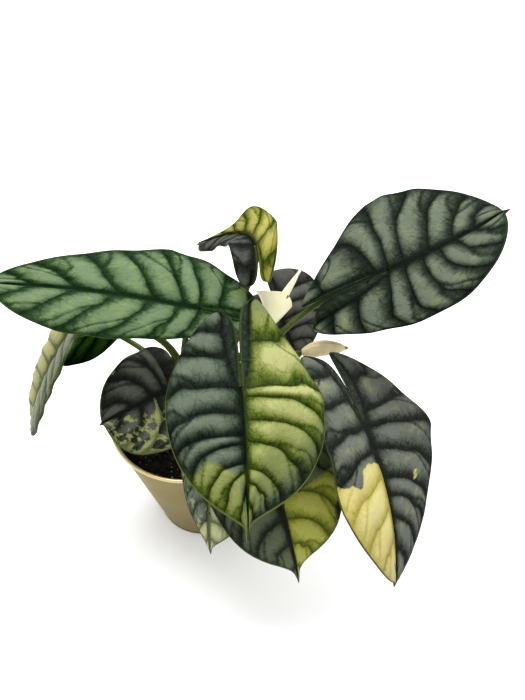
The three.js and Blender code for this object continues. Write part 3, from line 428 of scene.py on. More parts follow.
def blade_half(leaf, side):
    """Points, lift and shading values of one half of the upper face, as rows by columns."""
    count = len(leaf.veins[side]) + 1
    rows = np.append((np.arange(count)[:, None] + STEPS).ravel(), count)
    t = COLUMNS[None]
    base, xy = vein_rows(leaf, side, rows)
    veins = vein_rows(leaf, side, np.arange(count + 1))[1]
    apart = np.linalg.norm(np.diff(veins, axis=0), axis=2)
    phase = wandering(leaf, side, rows, t)
    panel = np.clip(np.floor(phase).astype(int), 0, count - 1)
    frac = np.clip(phase - panel, 0, 1)
    column = np.broadcast_to(np.arange(len(COLUMNS)), panel.shape)
    width = apart[panel, column]
    size = np.minimum(1, apart[:, len(COLUMNS) // 2] / FULL_PAD)[panel]
    cross = rib_share(leaf, side, base)[:, None]
    beyond = np.clip((t - cross) / (1 - cross), 0, 1)
    inside = np.clip(t / np.maximum(cross, 1e-6), 0, 1)
    outside = t > cross
    gain = np.where(outside, np.interp(beyond, PAD_ACROSS[:, 0], PAD_ACROSS[:, 1]), 0)
    fork = fork_distance(leaf, side, panel, frac, np.broadcast_to(t, panel.shape), width)
    groove = FORK_DEPTH * np.exp(-(fork / FORK_HALF) ** 2) * smooth(width, FORK_ROOM, FORK_ROOM + 3)
    round_low = (np.sin(pi * frac) ** 2 + VEIN_ROUND) ** PAD_BLUNT - VEIN_ROUND**PAD_BLUNT
    pad = gain * round_low * (1 - groove) * size
    strip = STRIP_HEIGHT * np.sin(pi * inside) * np.minimum(1, 4 * cross)
    lift = leaf.relief * np.where(outside, pad, strip)
    length = np.linalg.norm(xy[:, -1] - xy[:, 0], axis=1)[:, None]
    gap_mm = np.where((base < -0.02)[:, None], t * length, FAR_AWAY)
    edge_mm = np.minimum((1 - t) * length, gap_mm)
    starts = np.concatenate([np.zeros((1, len(COLUMNS))), np.cumsum(apart, axis=0)])
    across_mm = starts[panel, column] + frac * width
    shape = xy.shape[:2]
    spread = lambda q: np.broadcast_to(q, shape).copy()
    values = dict(phase=phase, gain=np.where(outside, gain, STRIP_CREST * np.sin(pi * inside)),
                  side=np.full(shape, float(side)), t=spread(t), x=xy[..., 0] / leaf.width[side],
                  y=xy[..., 1] / leaf.length, strip=spread(~outside & (base < 0)[:, None]).astype(float),
                  width_mm=width, fork_mm=np.where(width > FORK_ROOM, fork, FAR_AWAY),
                  rib_mm=spread((t - cross) * length), edge_mm=spread(edge_mm),
                  along_mm=spread(t * length), across_mm=across_mm)
    return base, xy, lift, values


def upper_faces(grids, height):
    """Faces of both halves, and of the seam that joins them along the midrib.
    grids: for each half, its point numbers and its first row on the midrib. height: y of each point."""
    faces = []
    for side, (index, _) in enumerate(grids):
        a, b, c, d = index[:-1, :-1], index[:-1, 1:], index[1:, 1:], index[1:, :-1]
        quads = np.stack([a, b, c, d], -1).reshape(-1, 4)
        faces += [list(q) if side == 1 else list(q[::-1]) for q in quads.tolist()]
    left, right = (index[first:, 0].tolist() for index, first in grids)
    i = j = 0
    while i < len(left) - 1 or j < len(right) - 1:
        if j == len(right) - 1 or (i < len(left) - 1 and height[left[i + 1]] <= height[right[j + 1]]):
            faces.append([left[i], right[j], left[i + 1]])
            i += 1
        else:
            faces.append([left[i], right[j], right[j + 1]])
            j += 1
    faces = [[v for k, v in enumerate(f) if v != f[k - 1]] for f in faces]
    return [f for f in faces if len(set(f)) >= 3]


def blade_mesh(leaf, pale):
    """One closed blade: its upper and lower faces, and the strip round its edge."""
    spine = spine_of(leaf)
    tops, lows, keys, grids = [], [], [], []
    total = 0
    for side in (0, 1):
        base, xy, lift, values = blade_half(leaf, side)
        level = np.zeros_like(lift)
        level[base >= 0, 0] = 1
        rib = np.where(level > 0, MIDRIB_HEIGHT * (1 - RIB_TAPER * np.clip(values["y"], 0, 1)), 0)
        fade = np.clip(values["edge_mm"] / EDGE_FADE, 0, 1)
        thick = EDGE_THICKNESS + (BLADE_THICKNESS - EDGE_THICKNESS) * fade
        grain = np.stack([values["along_mm"], values["across_mm"]], -1)
        lift = lift + fade * PUCKER_HEIGHT * soft_noise(grain, 11 + side, PUCKER_SIZE)
        tops.append(on_blade(leaf, spine, xy, side, lift, level).reshape(-1, 3))
        lows.append(on_blade(leaf, spine, xy, side, lift - thick - rib, level).reshape(-1, 3))
        keys.append({k: v.reshape(-1) for k, v in values.items()})
        rows, cols = lift.shape
        index = total + np.arange(rows * cols).reshape(rows, cols)
        index[0, :] = index[0, 0]
        grids.append((index, int(np.argmax(base >= 0))))
        total += rows * cols
    tip = grids[0][0][-1, 0]
    for index, _ in grids:
        index[-1, :] = tip
    values = {k: np.concatenate([s[k] for s in keys]) for k in keys[0]}
    upper = upper_faces(grids, values["y"])
    edges = {(f[k - 1], f[k]) for f in upper for k in range(len(f))}
    walls = [[q, p, p + total, q + total] for p, q in edges if (q, p) not in edges]
    faces = upper + [[v + total for v in reversed(f)] for f in upper] + walls
    values["pale"] = pale(SimpleNamespace(**values))
    both = {k: np.concatenate([v, v]) for k, v in values.items()}
    both["under"] = np.concatenate([np.zeros(total), np.ones(total)])
    used = np.zeros(2 * total, bool)
    used[np.concatenate([np.asarray(f) for f in faces])] = True
    new_index = np.cumsum(used) - 1
    faces = [[int(new_index[v]) for v in f] for f in faces]
    shape = np.concatenate(tops + lows)[used], faces
    return shape, {k: v[used] for k, v in both.items() if k not in NOT_KEPT}


# Shader helpers
class Tree:
    """Short ways to add nodes to a material and join them."""

    def __init__(self, name):
        self.material = bpy.data.materials.new(name)
        self.material.use_nodes = True
        self.nodes = self.material.node_tree.nodes
        self.shader = self.nodes["Principled BSDF"]

    def put(self, socket, value):
        if isinstance(value, bpy.types.NodeSocket):
            self.material.node_tree.links.new(value, socket)
        else:
            socket.default_value = value

    def add(self, kind, inputs, **settings):
        """The outputs of a new node. inputs: what goes into it, by number or by name."""
        node = self.nodes.new("ShaderNode" + kind)
        for key, value in settings.items():
            setattr(node, key, value)
        for key, value in inputs.items():
            self.put(node.inputs[key], value)
        return node.outputs

    def math(self, operation, a, b=0.0, c=0.0):
        return self.add("Math", {0: a, 1: b, 2: c}, operation=operation)[0]

    def plus(self, a, b):
        return self.math("ADD", a, b)

    def minus(self, a, b):
        return self.math("SUBTRACT", a, b)

    def times(self, a, b):
        return self.math("MULTIPLY", a, b)

    def vector(self, operation, a, b):
        return self.add("VectorMath", {0: a, 1: b}, operation=operation)[0]

    def ramp(self, value, low, high, to_low=0.0, to_high=1.0):
        inputs = dict(enumerate((value, low, high, to_low, to_high)))
        return self.add("MapRange", inputs, interpolation_type="SMOOTHSTEP")[0]

    def mix(self, factor, a, b):
        return self.add("Mix", {0: factor, 6: a, 7: b}, data_type="RGBA")[2]

    def value(self, name):
        return self.add("Attribute", {}, attribute_name=name)["Fac"]

    def noise(self, vector, scale, detail=2.0, rough=0.5, output="Fac"):
        return self.add("TexNoise", dict(Vector=vector, Scale=scale, Detail=detail, Roughness=rough))[output]

    def cell_edge(self, vector):
        """How far a point is from the edge of its cell, in cells of about one unit."""
        return self.add("TexVoronoi", dict(Vector=vector, Scale=1.0), feature="DISTANCE_TO_EDGE")["Distance"]

    def place(self):
        return self.add("TexCoord", {})["Object"]

    def bump(self, height, strength, distance):
        bump = self.add("Bump", dict(Strength=strength, Distance=distance, Height=height))
        self.put(self.shader.inputs["Normal"], bump[0])

    def finish(self, colour, roughness, **more):
        for key, value in dict(Base_Color=colour, Roughness=roughness, **more).items():
            self.put(self.shader.inputs[key.replace("_", " ")], value)
        return self.material


def layered(m, level, colour, *layers):
    """Colours that take over one after another as level rises. layers: (start, end, colour)."""
    for low, high, above in layers:
        colour = m.mix(m.ramp(level, low, high), colour, above)
    return colour


# Leaf finish. pad, mid, dark, core: silver tissue from the crest of a pad down to its vein. Its darkening
# towards the vein is partly the leaf's own veining and partly painted shade in the valleys between pads.
# cream, lime, olive, deep: the same for variegated tissue. rim: the thin margin. back: the underside.
# soft: how gently the two run into each other. ragged, coarse, crumb: how far, how finely and how roughly
# that border strays. fleck: how strong the small pale spots are. tint: how much lime is in the silver.
# band: how much wider the dark bands along the veins are. strokes: how frayed they are.
# fork, line: how dark the forked veins and the vein lines are. rough, gloss: how dull and how glossy.
PLANT_LIGHT = 1.75
# PAD_LEAN tips each pad's crest towards one vein; the darker side is partly own pattern, partly painted
# shade
PAD_LEAN = 0.68
HALVES_APART = 40.0
PLAIN_TONES = dict(
    pad=(114, 125, 105), mid=(74, 87, 69), dark=(26, 38, 25), core=(2, 9, 2), cream=(204, 202, 128),
    lime=(156, 164, 80), olive=(98, 112, 28), deep=(48, 64, 4), rim=(74, 94, 46), back=(128, 146, 100),
    soft=0.08, tint=0.0, fleck=0.0, rough=0.46, gloss=0.08, strokes=0.5, ragged=0.5, coarse=0.34,
    band=0.0, fork=0.5, line=0.6, crumb=0.68)


def leaf_grain(m):
    """Millimetres along and across the side veins, with the leaf's two halves set apart."""
    side = m.times(m.value("side"), HALVES_APART)
    return m.add("CombineXYZ", {0: m.value("along_mm"), 1: m.value("across_mm"), 2: side})[0]


def pad_crest(m, fork_mm, outside, fork_dark):
    """How far up its pad a point is: 0 on a vein, 1 on the crest."""
    share_across = m.math("POWER", m.math("FRACT", m.value("phase")), PAD_LEAN)
    swell = m.math("SINE", m.times(share_across, pi))
    swell = m.math("MAXIMUM", swell, m.minus(1.0, outside))
    fork = m.times(m.ramp(fork_mm, 0.0, 3.0, fork_dark, 0.0), outside)
    return m.times(m.times(m.value("gain"), swell), m.minus(1.0, fork))


def vein_nets(m, grain):
    """Two nets of small veins over the pads, a coarse and a fine one: 1 on a vein, 0 beside it."""
    shift = m.noise(grain, 0.25, output="Color")
    bent = m.vector("ADD", grain, m.vector("MULTIPLY", shift, (7.0, 7.0, 0.0)))
    net = m.ramp(m.cell_edge(m.vector("MULTIPLY", bent, (0.2, 0.11, 1))), 0.0, 0.07, 1.0, 0.0)
    fine_net = m.ramp(m.cell_edge(m.vector("MULTIPLY", bent, (0.6, 0.45, 1))), 0.0, 0.14, 1.0, 0.0)
    return net, fine_net


def vein_line(m, fork_mm, outside, edge_mm):
    """1 on the thin dark line along each side vein, lobe vein and forked vein."""
    near = m.math("PINGPONG", m.value("phase"), 0.5)
    vein_mm = m.plus(m.times(near, m.value("width_mm")), m.times(m.minus(1.0, outside), FAR_AWAY))
    rib_mm = m.math("ABSOLUTE", m.value("rib_mm"))
    line_mm = m.math("MINIMUM", m.math("MINIMUM", vein_mm, rib_mm),
                     m.math("MULTIPLY_ADD", fork_mm, 1.4, 0.35))
    return m.times(m.ramp(line_mm, 0.15, 0.75, 1.0, 0.0), m.ramp(edge_mm, 0.5, 2.0))


def leaf_material(name, tones):
    tone = {**PLAIN_TONES, **tones}
    c = {k: srgb(*v, light=PLANT_LIGHT) for k, v in tone.items() if isinstance(v, tuple)}
    m = Tree("leaf_" + name)
    edge_mm = m.value("edge_mm")
    fork_mm = m.math("ABSOLUTE", m.value("fork_mm"))
    outside = m.math("GREATER_THAN", m.value("rib_mm"), 0.0)
    grain = leaf_grain(m)
    strokes = m.noise(m.vector("MULTIPLY", grain, (1.7, 0.24, 1)), 1.0, 3.0, 0.6)
    wander = m.noise(grain, 0.2, 2.0)
    cloud = m.noise(grain, 0.35, 4.0, 0.6)
    # The height on the pad, frayed by fine strokes across the veins and lowered by the nets of small veins
    crest = pad_crest(m, fork_mm, outside, tone["fork"])
    fray = m.times(m.minus(strokes, 0.5), tone["strokes"])
    sway = m.math("MULTIPLY_ADD", wander, 0.4, -0.2)
    level = m.plus(m.plus(crest, fray), m.minus(sway, tone["band"]))
    net, fine_net = vein_nets(m, grain)
    level = m.minus(level, m.times(net, 0.16))
    level = m.minus(level, m.times(fine_net, 0.05))
    line = vein_line(m, fork_mm, outside, edge_mm)
    # Silver tissue, darker towards each vein: partly its own veining, partly painted shade in the valleys
    silver = layered(m, level, c["core"], (-0.05, 0.3, c["dark"]), (0.22, 0.66, c["mid"]),
                     (0.55, 1.0, c["pad"]))
    tint = m.noise(m.vector("ADD", grain, (4, 2, 0)), 0.09, 3.0, 0.6)
    tint = m.times(m.ramp(tint, 0.5, 0.68), m.times(m.ramp(level, 0.3, 0.9), tone["tint"]))
    silver = m.mix(tint, silver, c["lime"])
    silver = m.mix(m.times(line, tone["line"]), silver, c["core"])
    # Variegated tissue, and where it is; towards each vein partly its own veining, partly painted shade
    ragged = m.noise(grain, tone["coarse"], 6.0, tone["crumb"])
    pale = m.plus(m.value("pale"), m.times(m.minus(ragged, 0.5), tone["ragged"]))
    light = layered(m, level, c["deep"], (-0.05, 0.3, c["olive"]), (0.2, 0.6, c["lime"]))
    light = m.mix(m.times(m.ramp(level, 0.5, 0.95), m.ramp(pale, 0.55, 1.0)), light, c["cream"])
    light = m.mix(m.times(line, 0.7), light, c["deep"])
    share = m.ramp(pale, 0.5 - tone["soft"], 0.5 + tone["soft"])
    speck = m.noise(m.vector("ADD", grain, (3, 8, 0)), 0.75, 3.0, 0.75)
    share = m.math("MAXIMUM", share, m.times(m.ramp(speck, 0.67, 0.71), tone["fleck"]))
    colour = m.mix(share, silver, light)
    # Margin and underside
    rim = m.times(m.ramp(edge_mm, 0.45, 1.1, 1.0, 0.0), m.math("MULTIPLY_ADD", outside, 0.65, 0.35))
    colour = m.mix(rim, colour, c["rim"])
    below = m.mix(m.ramp(level, 0.0, 0.7), c["rim"], c["back"])
    below = m.mix(m.times(share, 0.5), below, c["lime"])
    colour = m.mix(m.value("under"), colour, below)
    height = m.math("MULTIPLY_ADD", cloud, 0.5, m.times(net, -0.7))
    height = m.plus(height, m.times(fine_net, -0.3))
    height = m.plus(height, m.times(strokes, 0.35))
    m.bump(height, 0.4, 0.5 * MM)
    rough = m.math("MULTIPLY_ADD", cloud, 0.16, tone["rough"] - 0.08)
    return m.finish(colour, rough, Specular_IOR_Level=tone["gloss"])


def spot(v, side, y, t, size):
    """1 at one place of the leaf, fading to 0 at a distance of size. y, t: as in the leaf's rows."""
    far = np.hypot((v.y - y) / size, (v.t - t) / (1.6 * size))
    return np.where(v.side == side, np.clip(1.3 * (1 - far), 0, 1), 0)


# Where each leaf is variegated: below 0.5 silver, above it lime and cream.
# In pale_low, one lowered patch stands for painted shade instead.
# first: on the leaf's half with side 0. second: on its half with side 1.
def pale_none(v):
    return np.full_like(v.y, -0.2)


def pale_front(v):
    amount = [0.4, 0.7, 1.1, 1.05, 0.85, 0.72, 0.62, 0.56, 0.54, 0.52]
    first = np.interp(v.phase, [0, 0.6, 1.3, 2.2, 3.2, 4, 5, 6, 7, 9], amount)
    first = first - 0.28 * smooth(v.t, 0.55, 0.92) * smooth(v.phase, 1.6, 2.6)
    first = first + 0.25 * (1 - smooth(v.t, 0.05, 0.35)) * smooth(v.phase, 3, 4)
    first = np.where(v.strip > 0, 0.1, first)
    second = 0.88 * smooth(v.y - 0.04 * np.sin(9 * v.t), 0.46, 0.55) - 0.2
    second = second - 1.1 * spot(v, 1, 0.78, 0.1, 0.2)
    second = second + 0.75 * spot(v, 1, 0.06, 0.97, 0.16) + 0.5 * spot(v, 1, 0.3, 0.9, 0.1)
    return np.where(v.side == 0, first, second)


def pale_hanging(v):
    first = -0.2 + 0.75 * spot(v, 0, 0.36, 0.55, 0.09) + 0.7 * spot(v, 0, -0.2, 0.75, 0.05)
    second = 1.6 * smooth(v.y - 0.1 * v.t + 0.03 * np.sin(7 * v.t), 0.17, 0.35) - 0.3
    second = second - 1.5 * spot(v, 1, 0.88, 0.25, 0.09) - 0.8 * spot(v, 1, 0.34, 0.5, 0.09)
    second = second + 0.7 * spot(v, 1, 0.1, 0.85, 0.06) + 0.6 * spot(v, 1, 0.22, 0.9, 0.05)
    return np.where(v.side == 0, first, second)


def pale_low(v):
    first = smooth(v.t, 0.0, 0.06) * smooth(v.y + 0.12 * v.t, 0.4, 0.56)
    # Lowered near the margin below three fifths of the length: painted shade between this leaf and the front
    # one
    first = first - 0.7 * smooth(v.t, 0.72, 0.95) * smooth(-v.y, -0.75, -0.6)
    return np.where(v.side == 0, first, -0.2)


def pale_middle(v):
    first = 0.4 + 0.35 * smooth(v.t, 0.85, 0.95) + 0.6 * np.exp(-((v.phase - 2.1) / 0.1) ** 2)
    first = first - 0.25 * (1 - smooth(v.t, 0.0, 0.3))
    second = -0.1 + 0.5 * smooth(v.t, 0.86, 0.97) + 0.6 * smooth(v.y, 0.9, 0.97)
    return np.where(v.side == 0, first, second)


def pale_small(v):
    stripe = 0.9 * smooth(v.y, 0.66, 0.76) * np.exp(-((v.x - 0.12) / 0.2) ** 2)
    return stripe + np.where(v.side == 0, 0.6, 0.38 + 0.16 * smooth(v.y, 0.55, 0.8))


def pale_far(v):
    return np.where(v.side == 0, 0.35, 0.85)


def pale_curled(v):
    second = 1.1 - 0.4 * smooth(v.t, 0.45, 1.0) - 0.4 * smooth(-v.y, 0.05, 0.35)
    return np.where(v.side == 0, -0.2, second)


FINISH = {
    "front": (pale_front, dict(mid=(70, 83, 66), pad=(104, 116, 98), soft=0.3, fleck=0.5,
        rim=(104, 122, 56), ragged=0.28, cream=(186, 188, 124), lime=(132, 142, 70), olive=(76, 92, 16),
        deep=(30, 46, 0), gloss=0.05, band=-0.04, strokes=0.36)),
    "right": (pale_none, dict(fleck=0.3, lime=(138, 146, 98), rim=(40, 62, 30), tint=0.6,
        pad=(115, 125, 107), mid=(73, 83, 67), gloss=0.04, band=-0.04)),
    "left": (pale_none, dict(pad=(124, 146, 108), mid=(98, 122, 84), dark=(36, 66, 28), core=(10, 34, 10),
        rim=(60, 82, 44), fleck=0.2, lime=(142, 168, 94), tint=0.7, band=-0.04, line=0.3, strokes=0.35,
        gloss=0.04)),
    "hanging": (pale_hanging, dict(pad=(108, 114, 103), mid=(80, 86, 76), dark=(26, 34, 24),
        core=(6, 14, 7), cream=(220, 210, 140), lime=(208, 196, 116), olive=(192, 180, 94),
        deep=(164, 152, 64), fleck=0.9, ragged=0.7, rim=(62, 76, 40), tint=0.2, band=-0.08, line=0.4)),
    "low": (pale_low, dict(pad=(104, 113, 87), mid=(81, 90, 64), dark=(36, 44, 26), core=(10, 18, 6),
        cream=(188, 190, 92), lime=(158, 164, 50), olive=(104, 113, 18), deep=(74, 83, 4), soft=0.1,
        ragged=0.6, fleck=0.3, band=-0.1)),
    "middle": (pale_middle, dict(pad=(92, 98, 86), mid=(64, 69, 58), dark=(22, 29, 20), core=(2, 6, 2),
        cream=(184, 186, 108), lime=(152, 158, 94), olive=(120, 126, 70), deep=(84, 92, 50), rough=0.5,
        ragged=2.2, soft=0.06, coarse=0.13, crumb=0.55, fleck=0.5)),
    # small: tones partly its own pale silver and partly painted light, raised against the front leaf's shade
    "small": (pale_small, dict(pad=(130, 140, 124), mid=(114, 124, 108), dark=(86, 96, 78),
        core=(52, 62, 44), cream=(218, 218, 164), lime=(180, 188, 140), olive=(150, 158, 108),
        deep=(104, 114, 68), ragged=1.6, coarse=0.22, crumb=0.6, soft=0.07, line=0.3)),
    "far": (pale_far, dict(pad=(134, 141, 118), mid=(108, 118, 90), dark=(56, 66, 38), core=(22, 32, 12),
        cream=(182, 180, 116), lime=(160, 162, 96), olive=(114, 120, 58), deep=(66, 76, 26), soft=0.25,
        line=0.4)),
    # under: near-black green, partly its own dark green and partly painted shade from the leaves above it
    "under": (pale_none, dict(pad=(30, 52, 8), mid=(18, 40, 4), dark=(6, 24, 0), core=(0, 10, 0),
        rim=(44, 70, 16), rough=0.5, gloss=0.0)),
    "curled": (pale_curled, dict(pad=(76, 80, 74), mid=(44, 48, 42), dark=(14, 20, 12), core=(2, 6, 2),
        cream=(192, 184, 98), lime=(146, 150, 58), olive=(104, 112, 26), deep=(50, 62, 4),
        back=(124, 132, 96), rim=(104, 112, 54), gloss=0.03, line=0.4)),
    # back: tones partly its own light grey and partly painted light, raised against the right leaf's shade
    "back": (pale_none, dict(pad=(112, 113, 107), mid=(95, 96, 90), dark=(66, 68, 63), core=(30, 32, 29),
        rough=0.6, rim=(76, 78, 70), strokes=0.3, gloss=0.04)),
}


def make_leaves():
    for name, leaf in LEAVES.items():
        pale, tones = FINISH[name]
        shape, values = blade_mesh(leaf, pale)
        new_piece("leaf_" + name, shape, leaf_material(name, tones), "blade_" + name, values)


# Stalks
STALK_POINTS = 44
STALK_SIDES = 18
STALK_SEAT = 0.4
COLLAR_HEIGHT = 4.0
ROOTED_DEPTHS = (10, 2)


def tube(path, radii, last):
    """A closed round rod along a path, and for each point its share of the way.
    last: (direction, normal) of the plane that cuts its end."""
    count, side = len(path), X_AXIS
    angle = round_angles(STALK_SIDES)
    rings = []
    for i in range(count):
        t = last[0] if i == count - 1 else unit(path[i + 1] - path[max(i - 1, 0)])
        side = unit(side - t * side.dot(t))
        ring = circle(path[i], side, np.cross(t, side), radii[i], angle)
        if i == count - 1:
            ring = ring + ((path[i] - ring) @ last[1] / t.dot(last[1]))[:, None] * t
        rings.append(ring)
    points = np.concatenate(rings + [path[:1], path[-1:]])
    share = np.concatenate([np.repeat(np.linspace(0, 1, count), STALK_SIDES), [0, 1]])
    return (points, ring_faces(count, STALK_SIDES)), share


def stalk_material():
    m = Tree("stalk")
    place = m.place()
    streak = m.noise(m.vector("MULTIPLY", place, (1100, 1100, 90)), 1.0, 3.0)
    cloud = m.noise(place, 60.0, 3.0)
    colour = m.mix(m.ramp(cloud, 0.3, 0.7), srgb(50, 66, 16), srgb(72, 86, 30))
    colour = m.mix(m.times(m.ramp(streak, 0.4, 0.75), 0.5), colour, srgb(36, 48, 10))
    colour = m.mix(m.ramp(m.value("share"), 0.05, 0.3, 0.55, 0.0), colour, srgb(122, 114, 74))
    # Darker green over the upper end of each stalk: painted shade where it runs in under its leaf or flower
    colour = m.mix(m.ramp(m.value("share"), 0.8, 0.97, 0.0, 0.6), colour, srgb(32, 50, 14))
    m.bump(streak, 0.3, 0.25 * MM)
    return m.finish(colour, 0.5, Specular_IOR_Level=0.12)


def stalk_path(foot, rise, end, pull):
    """Up out of the soil, off by rise, and on to end, which is reached from pull."""
    start = np.array([*foot, SOIL_TOP + COLLAR_HEIGHT])
    curve = bezier([start, start + np.array(rise), pull, end], STALK_POINTS)
    return np.vstack([[*foot, SOIL_TOP - depth] for depth in ROOTED_DEPTHS] + [curve])


def make_stalks():
    material = stalk_material()
    for name, leaf in LEAVES.items():
        stalk = STALKS[name]
        spine = spine_of(leaf)
        i = int(np.argmin(np.abs(spine[0])))
        along, across, up = spine[2][i], spine[3][i], spine[4][i]
        seat = np.array(leaf.at) - up * (BLADE_THICKNESS + STALK_SEAT)
        arrive = unit(up + along * stalk["arrive"] + across * stalk.get("lean", 0))
        path = stalk_path(stalk["foot"], stalk["rise"], seat, seat - arrive * stalk["reach"])
        u = np.linspace(0, 1, len(path))
        radii = STALK_BASE_RADIUS + (STALK_TOP_RADIUS - STALK_BASE_RADIUS) * np.minimum(1, u * 1.15)
        radii = radii * (1 + 0.03 * np.sin(21 * u + len(name)))
        shape, share = tube(path, radii, (arrive, up))
        new_piece("petiole_" + name, shape, material, "stalk_" + name, dict(share=share))


# Flowers
def petal_material(name, light, shade, stain, stain_low, stain_high):
    m = Tree(name)
    cloud = m.noise(m.place(), 90.0, 3.0)
    ribs = m.noise(m.vector("MULTIPLY", m.place(), (500, 500, 60)), 1.0, 2.0)
    colour = m.mix(m.ramp(cloud, 0.3, 0.75), srgb(*light), srgb(*shade))
    colour = m.mix(m.times(m.ramp(ribs, 0.45, 0.7), 0.25), colour, srgb(*shade))
    worn = m.plus(m.value("stain"), m.math("MULTIPLY_ADD", cloud, 0.5, -0.25))
    colour = m.mix(m.ramp(worn, stain_low, stain_high), colour, srgb(*stain))
    m.bump(ribs, 0.25, 0.3 * MM)
    return m.finish(colour, 0.5, Specular_IOR_Level=0.4, Subsurface_Weight=0.15, Subsurface_Scale=2 * MM)


SPATHE_AROUND = 96
SPATHE_ALONG = 40
SPADIX_AROUND = 48
SPADIX_ALONG = 150
SPADIX_RADIUS = 2.0
BEAD_HEIGHT = 0.16
BUD_AROUND = 72
BUD_ALONG = 60
BUD_NECK = 2.2
BUD_ARCH = 2.5
BUD_FLAT = 0.85


def make_spathe():
    """A cup that opens to a point on one side, with a thin wall."""
    axis = unit(SPATHE_AXIS)
    left = unit(axis * axis[0] - X_AXIS)
    front = unit(np.cross(axis, left))
    a = round_angles(SPATHE_AROUND)

    def ring(u, inset):
        point = np.maximum(0, np.cos(a)) ** 2.2
        lip = np.maximum(0, -np.cos(a)) ** 3
        r = SPATHE_FOOT_RADIUS + (SPATHE_MOUTH_RADIUS - SPATHE_FOOT_RADIUS) * u**0.6
        r = r + SPATHE_POINT * point * u**2 + 0.35 * u * u * np.sin(5 * a + 0.6) - inset
        h = SPATHE_LENGTH * u * (1 - (0.3 * point + 0.2 * lip) * u + 0.06 * np.sin(a) * u) + inset * (1 - u)
        return circle(SPATHE_BASE + h[:, None] * axis, left, front, r, a)

    up = np.arange(SPATHE_ALONG + 1) / SPATHE_ALONG
    shape = skin_over([ring(u, 0.0) for u in up] + [ring(u, SPATHE_WALL * 0.8) for u in up[::-1]])
    u = np.concatenate([np.repeat(np.concatenate([up, up[::-1]]), SPATHE_AROUND), [0, 0]])
    angle = np.concatenate([np.tile(a, 2 * len(up)), [0, 0]])
    nick = np.exp(-((angle - 1.9) / 0.09) ** 2) * smooth(u, 0.8, 1.0)
    material = petal_material("spathe_cream", (250, 248, 218), (238, 236, 184), (112, 84, 48), 0.35, 0.6)
    new_piece("flower_spathe", shape, material, "spathe_open", dict(stain=nick))


def make_spadix():
    """A slender club with rows of beads."""
    axis = unit(SPATHE_AXIS)
    start = SPATHE_BASE + axis * SPATHE_WALL
    u = np.linspace(0, 1, SPADIX_ALONG)
    path = start + u[:, None] * SPADIX_LENGTH * axis + (1.5 * u * u)[:, None] * X_AXIS
    swell = 0.9 * np.sin(pi * np.minimum(1, u * 1.15)) ** 0.7
    radius = SPADIX_RADIUS + swell - 1.3 * np.maximum(0, u - 0.55) / 0.45
    radius = np.where(u < 0.12, 1.9, radius) * np.sqrt(np.clip((1.002 - u) / 0.03, 0, 1))
    radius = np.maximum(radius, 0.15)
    side = unit(np.cross(axis, (0, 0, 1)))
    other = np.cross(axis, side)
    b = round_angles(SPADIX_AROUND)
    rings = []
    for i in range(SPADIX_ALONG):
        bead = np.sin(12 * b + (i % 8 > 3) * pi) * np.sin(pi * (i % 4) / 4) * min(1, u[i] * 5)
        rings.append(circle(path[i], side, other, radius[i] + BEAD_HEIGHT * bead * (radius[i] > 0.6), b))
    shape = skin_over(rings)
    material = petal_material("spadix_cream", (250, 246, 216), (240, 232, 184), (200, 186, 130), 0.8, 1.2)
    new_piece("flower_spadix", shape, material, "spadix", dict(stain=np.zeros(len(shape[0]))))


def make_rolled_flower():
    along, length = unit(BUD_TIP - BUD_BASE), np.linalg.norm(BUD_TIP - BUD_BASE)
    up = unit(np.array([0, 0, 1.0]) - along * along[2])
    side = np.cross(along, up) * BUD_FLAT
    v = np.arange(BUD_AROUND) / BUD_AROUND
    rings, stain = [], []
    for u in np.arange(BUD_ALONG + 1) / BUD_ALONG:
        swell = sin(pi * min(1, u**0.85 * 1.02)) ** 0.9 * (1 - 0.15 * u)
        tipped = 1 - max(0, (u - 0.85) / 0.15) * 0.55
        seam = 1 + 0.08 * (1 - v) - 0.2 * np.exp(-((v - 0.02) / 0.022) ** 2)
        radius = (BUD_NECK + (BUD_RADIUS - BUD_NECK) * swell) * tipped * seam
        centre = BUD_BASE + along * length * u + up * BUD_ARCH * sin(pi * u)
        rings.append(circle(centre, up, side, radius, 2 * pi * v))
        line = np.exp(-((v - 0.03) / 0.02) ** 2) * smooth(u, 0.2, 0.6)
        stain.append(np.maximum(line * 0.8, smooth(u, 0.9, 0.97)))
    stain = np.concatenate(stain + [[0], [1]])
    material = petal_material("bud_cream", (214, 200, 160), (186, 172, 126), (124, 78, 48), 0.4, 0.75)
    new_piece("flower_rolled", skin_over(rings), material, "spathe_rolled", dict(stain=stain))


def make_peduncles():
    material = stalk_material()
    ends = {"open": (SPATHE_BASE, unit(SPATHE_AXIS)), "rolled": (BUD_BASE, unit(BUD_TIP - BUD_BASE))}
    for name, item in PEDUNCLES.items():
        end, along = ends[name]
        path = stalk_path(item["foot"], item["rise"], end, end - along * item["pull"])
        u = np.linspace(0, 1, len(path))
        radii = item["radii"][0] + (item["radii"][1] - item["radii"][0]) * u
        shape, share = tube(path, radii, (along, along))
        new_piece("peduncle_" + name, shape, material, "flower_stalk_" + name, dict(share=share))


# Pot
POT_SEGMENTS = 200
BEAD_POINTS = 22
WALL_POINTS = 24
FOOT_FLAT = 6
RIM_HIGHLIGHT_HEIGHT = 2.4


def wall_radius(z):
    return POT_FOOT_RADIUS + (POT_RIM_RADIUS - RIM_BEAD_RADIUS - POT_FOOT_RADIUS) * z / POT_HEIGHT


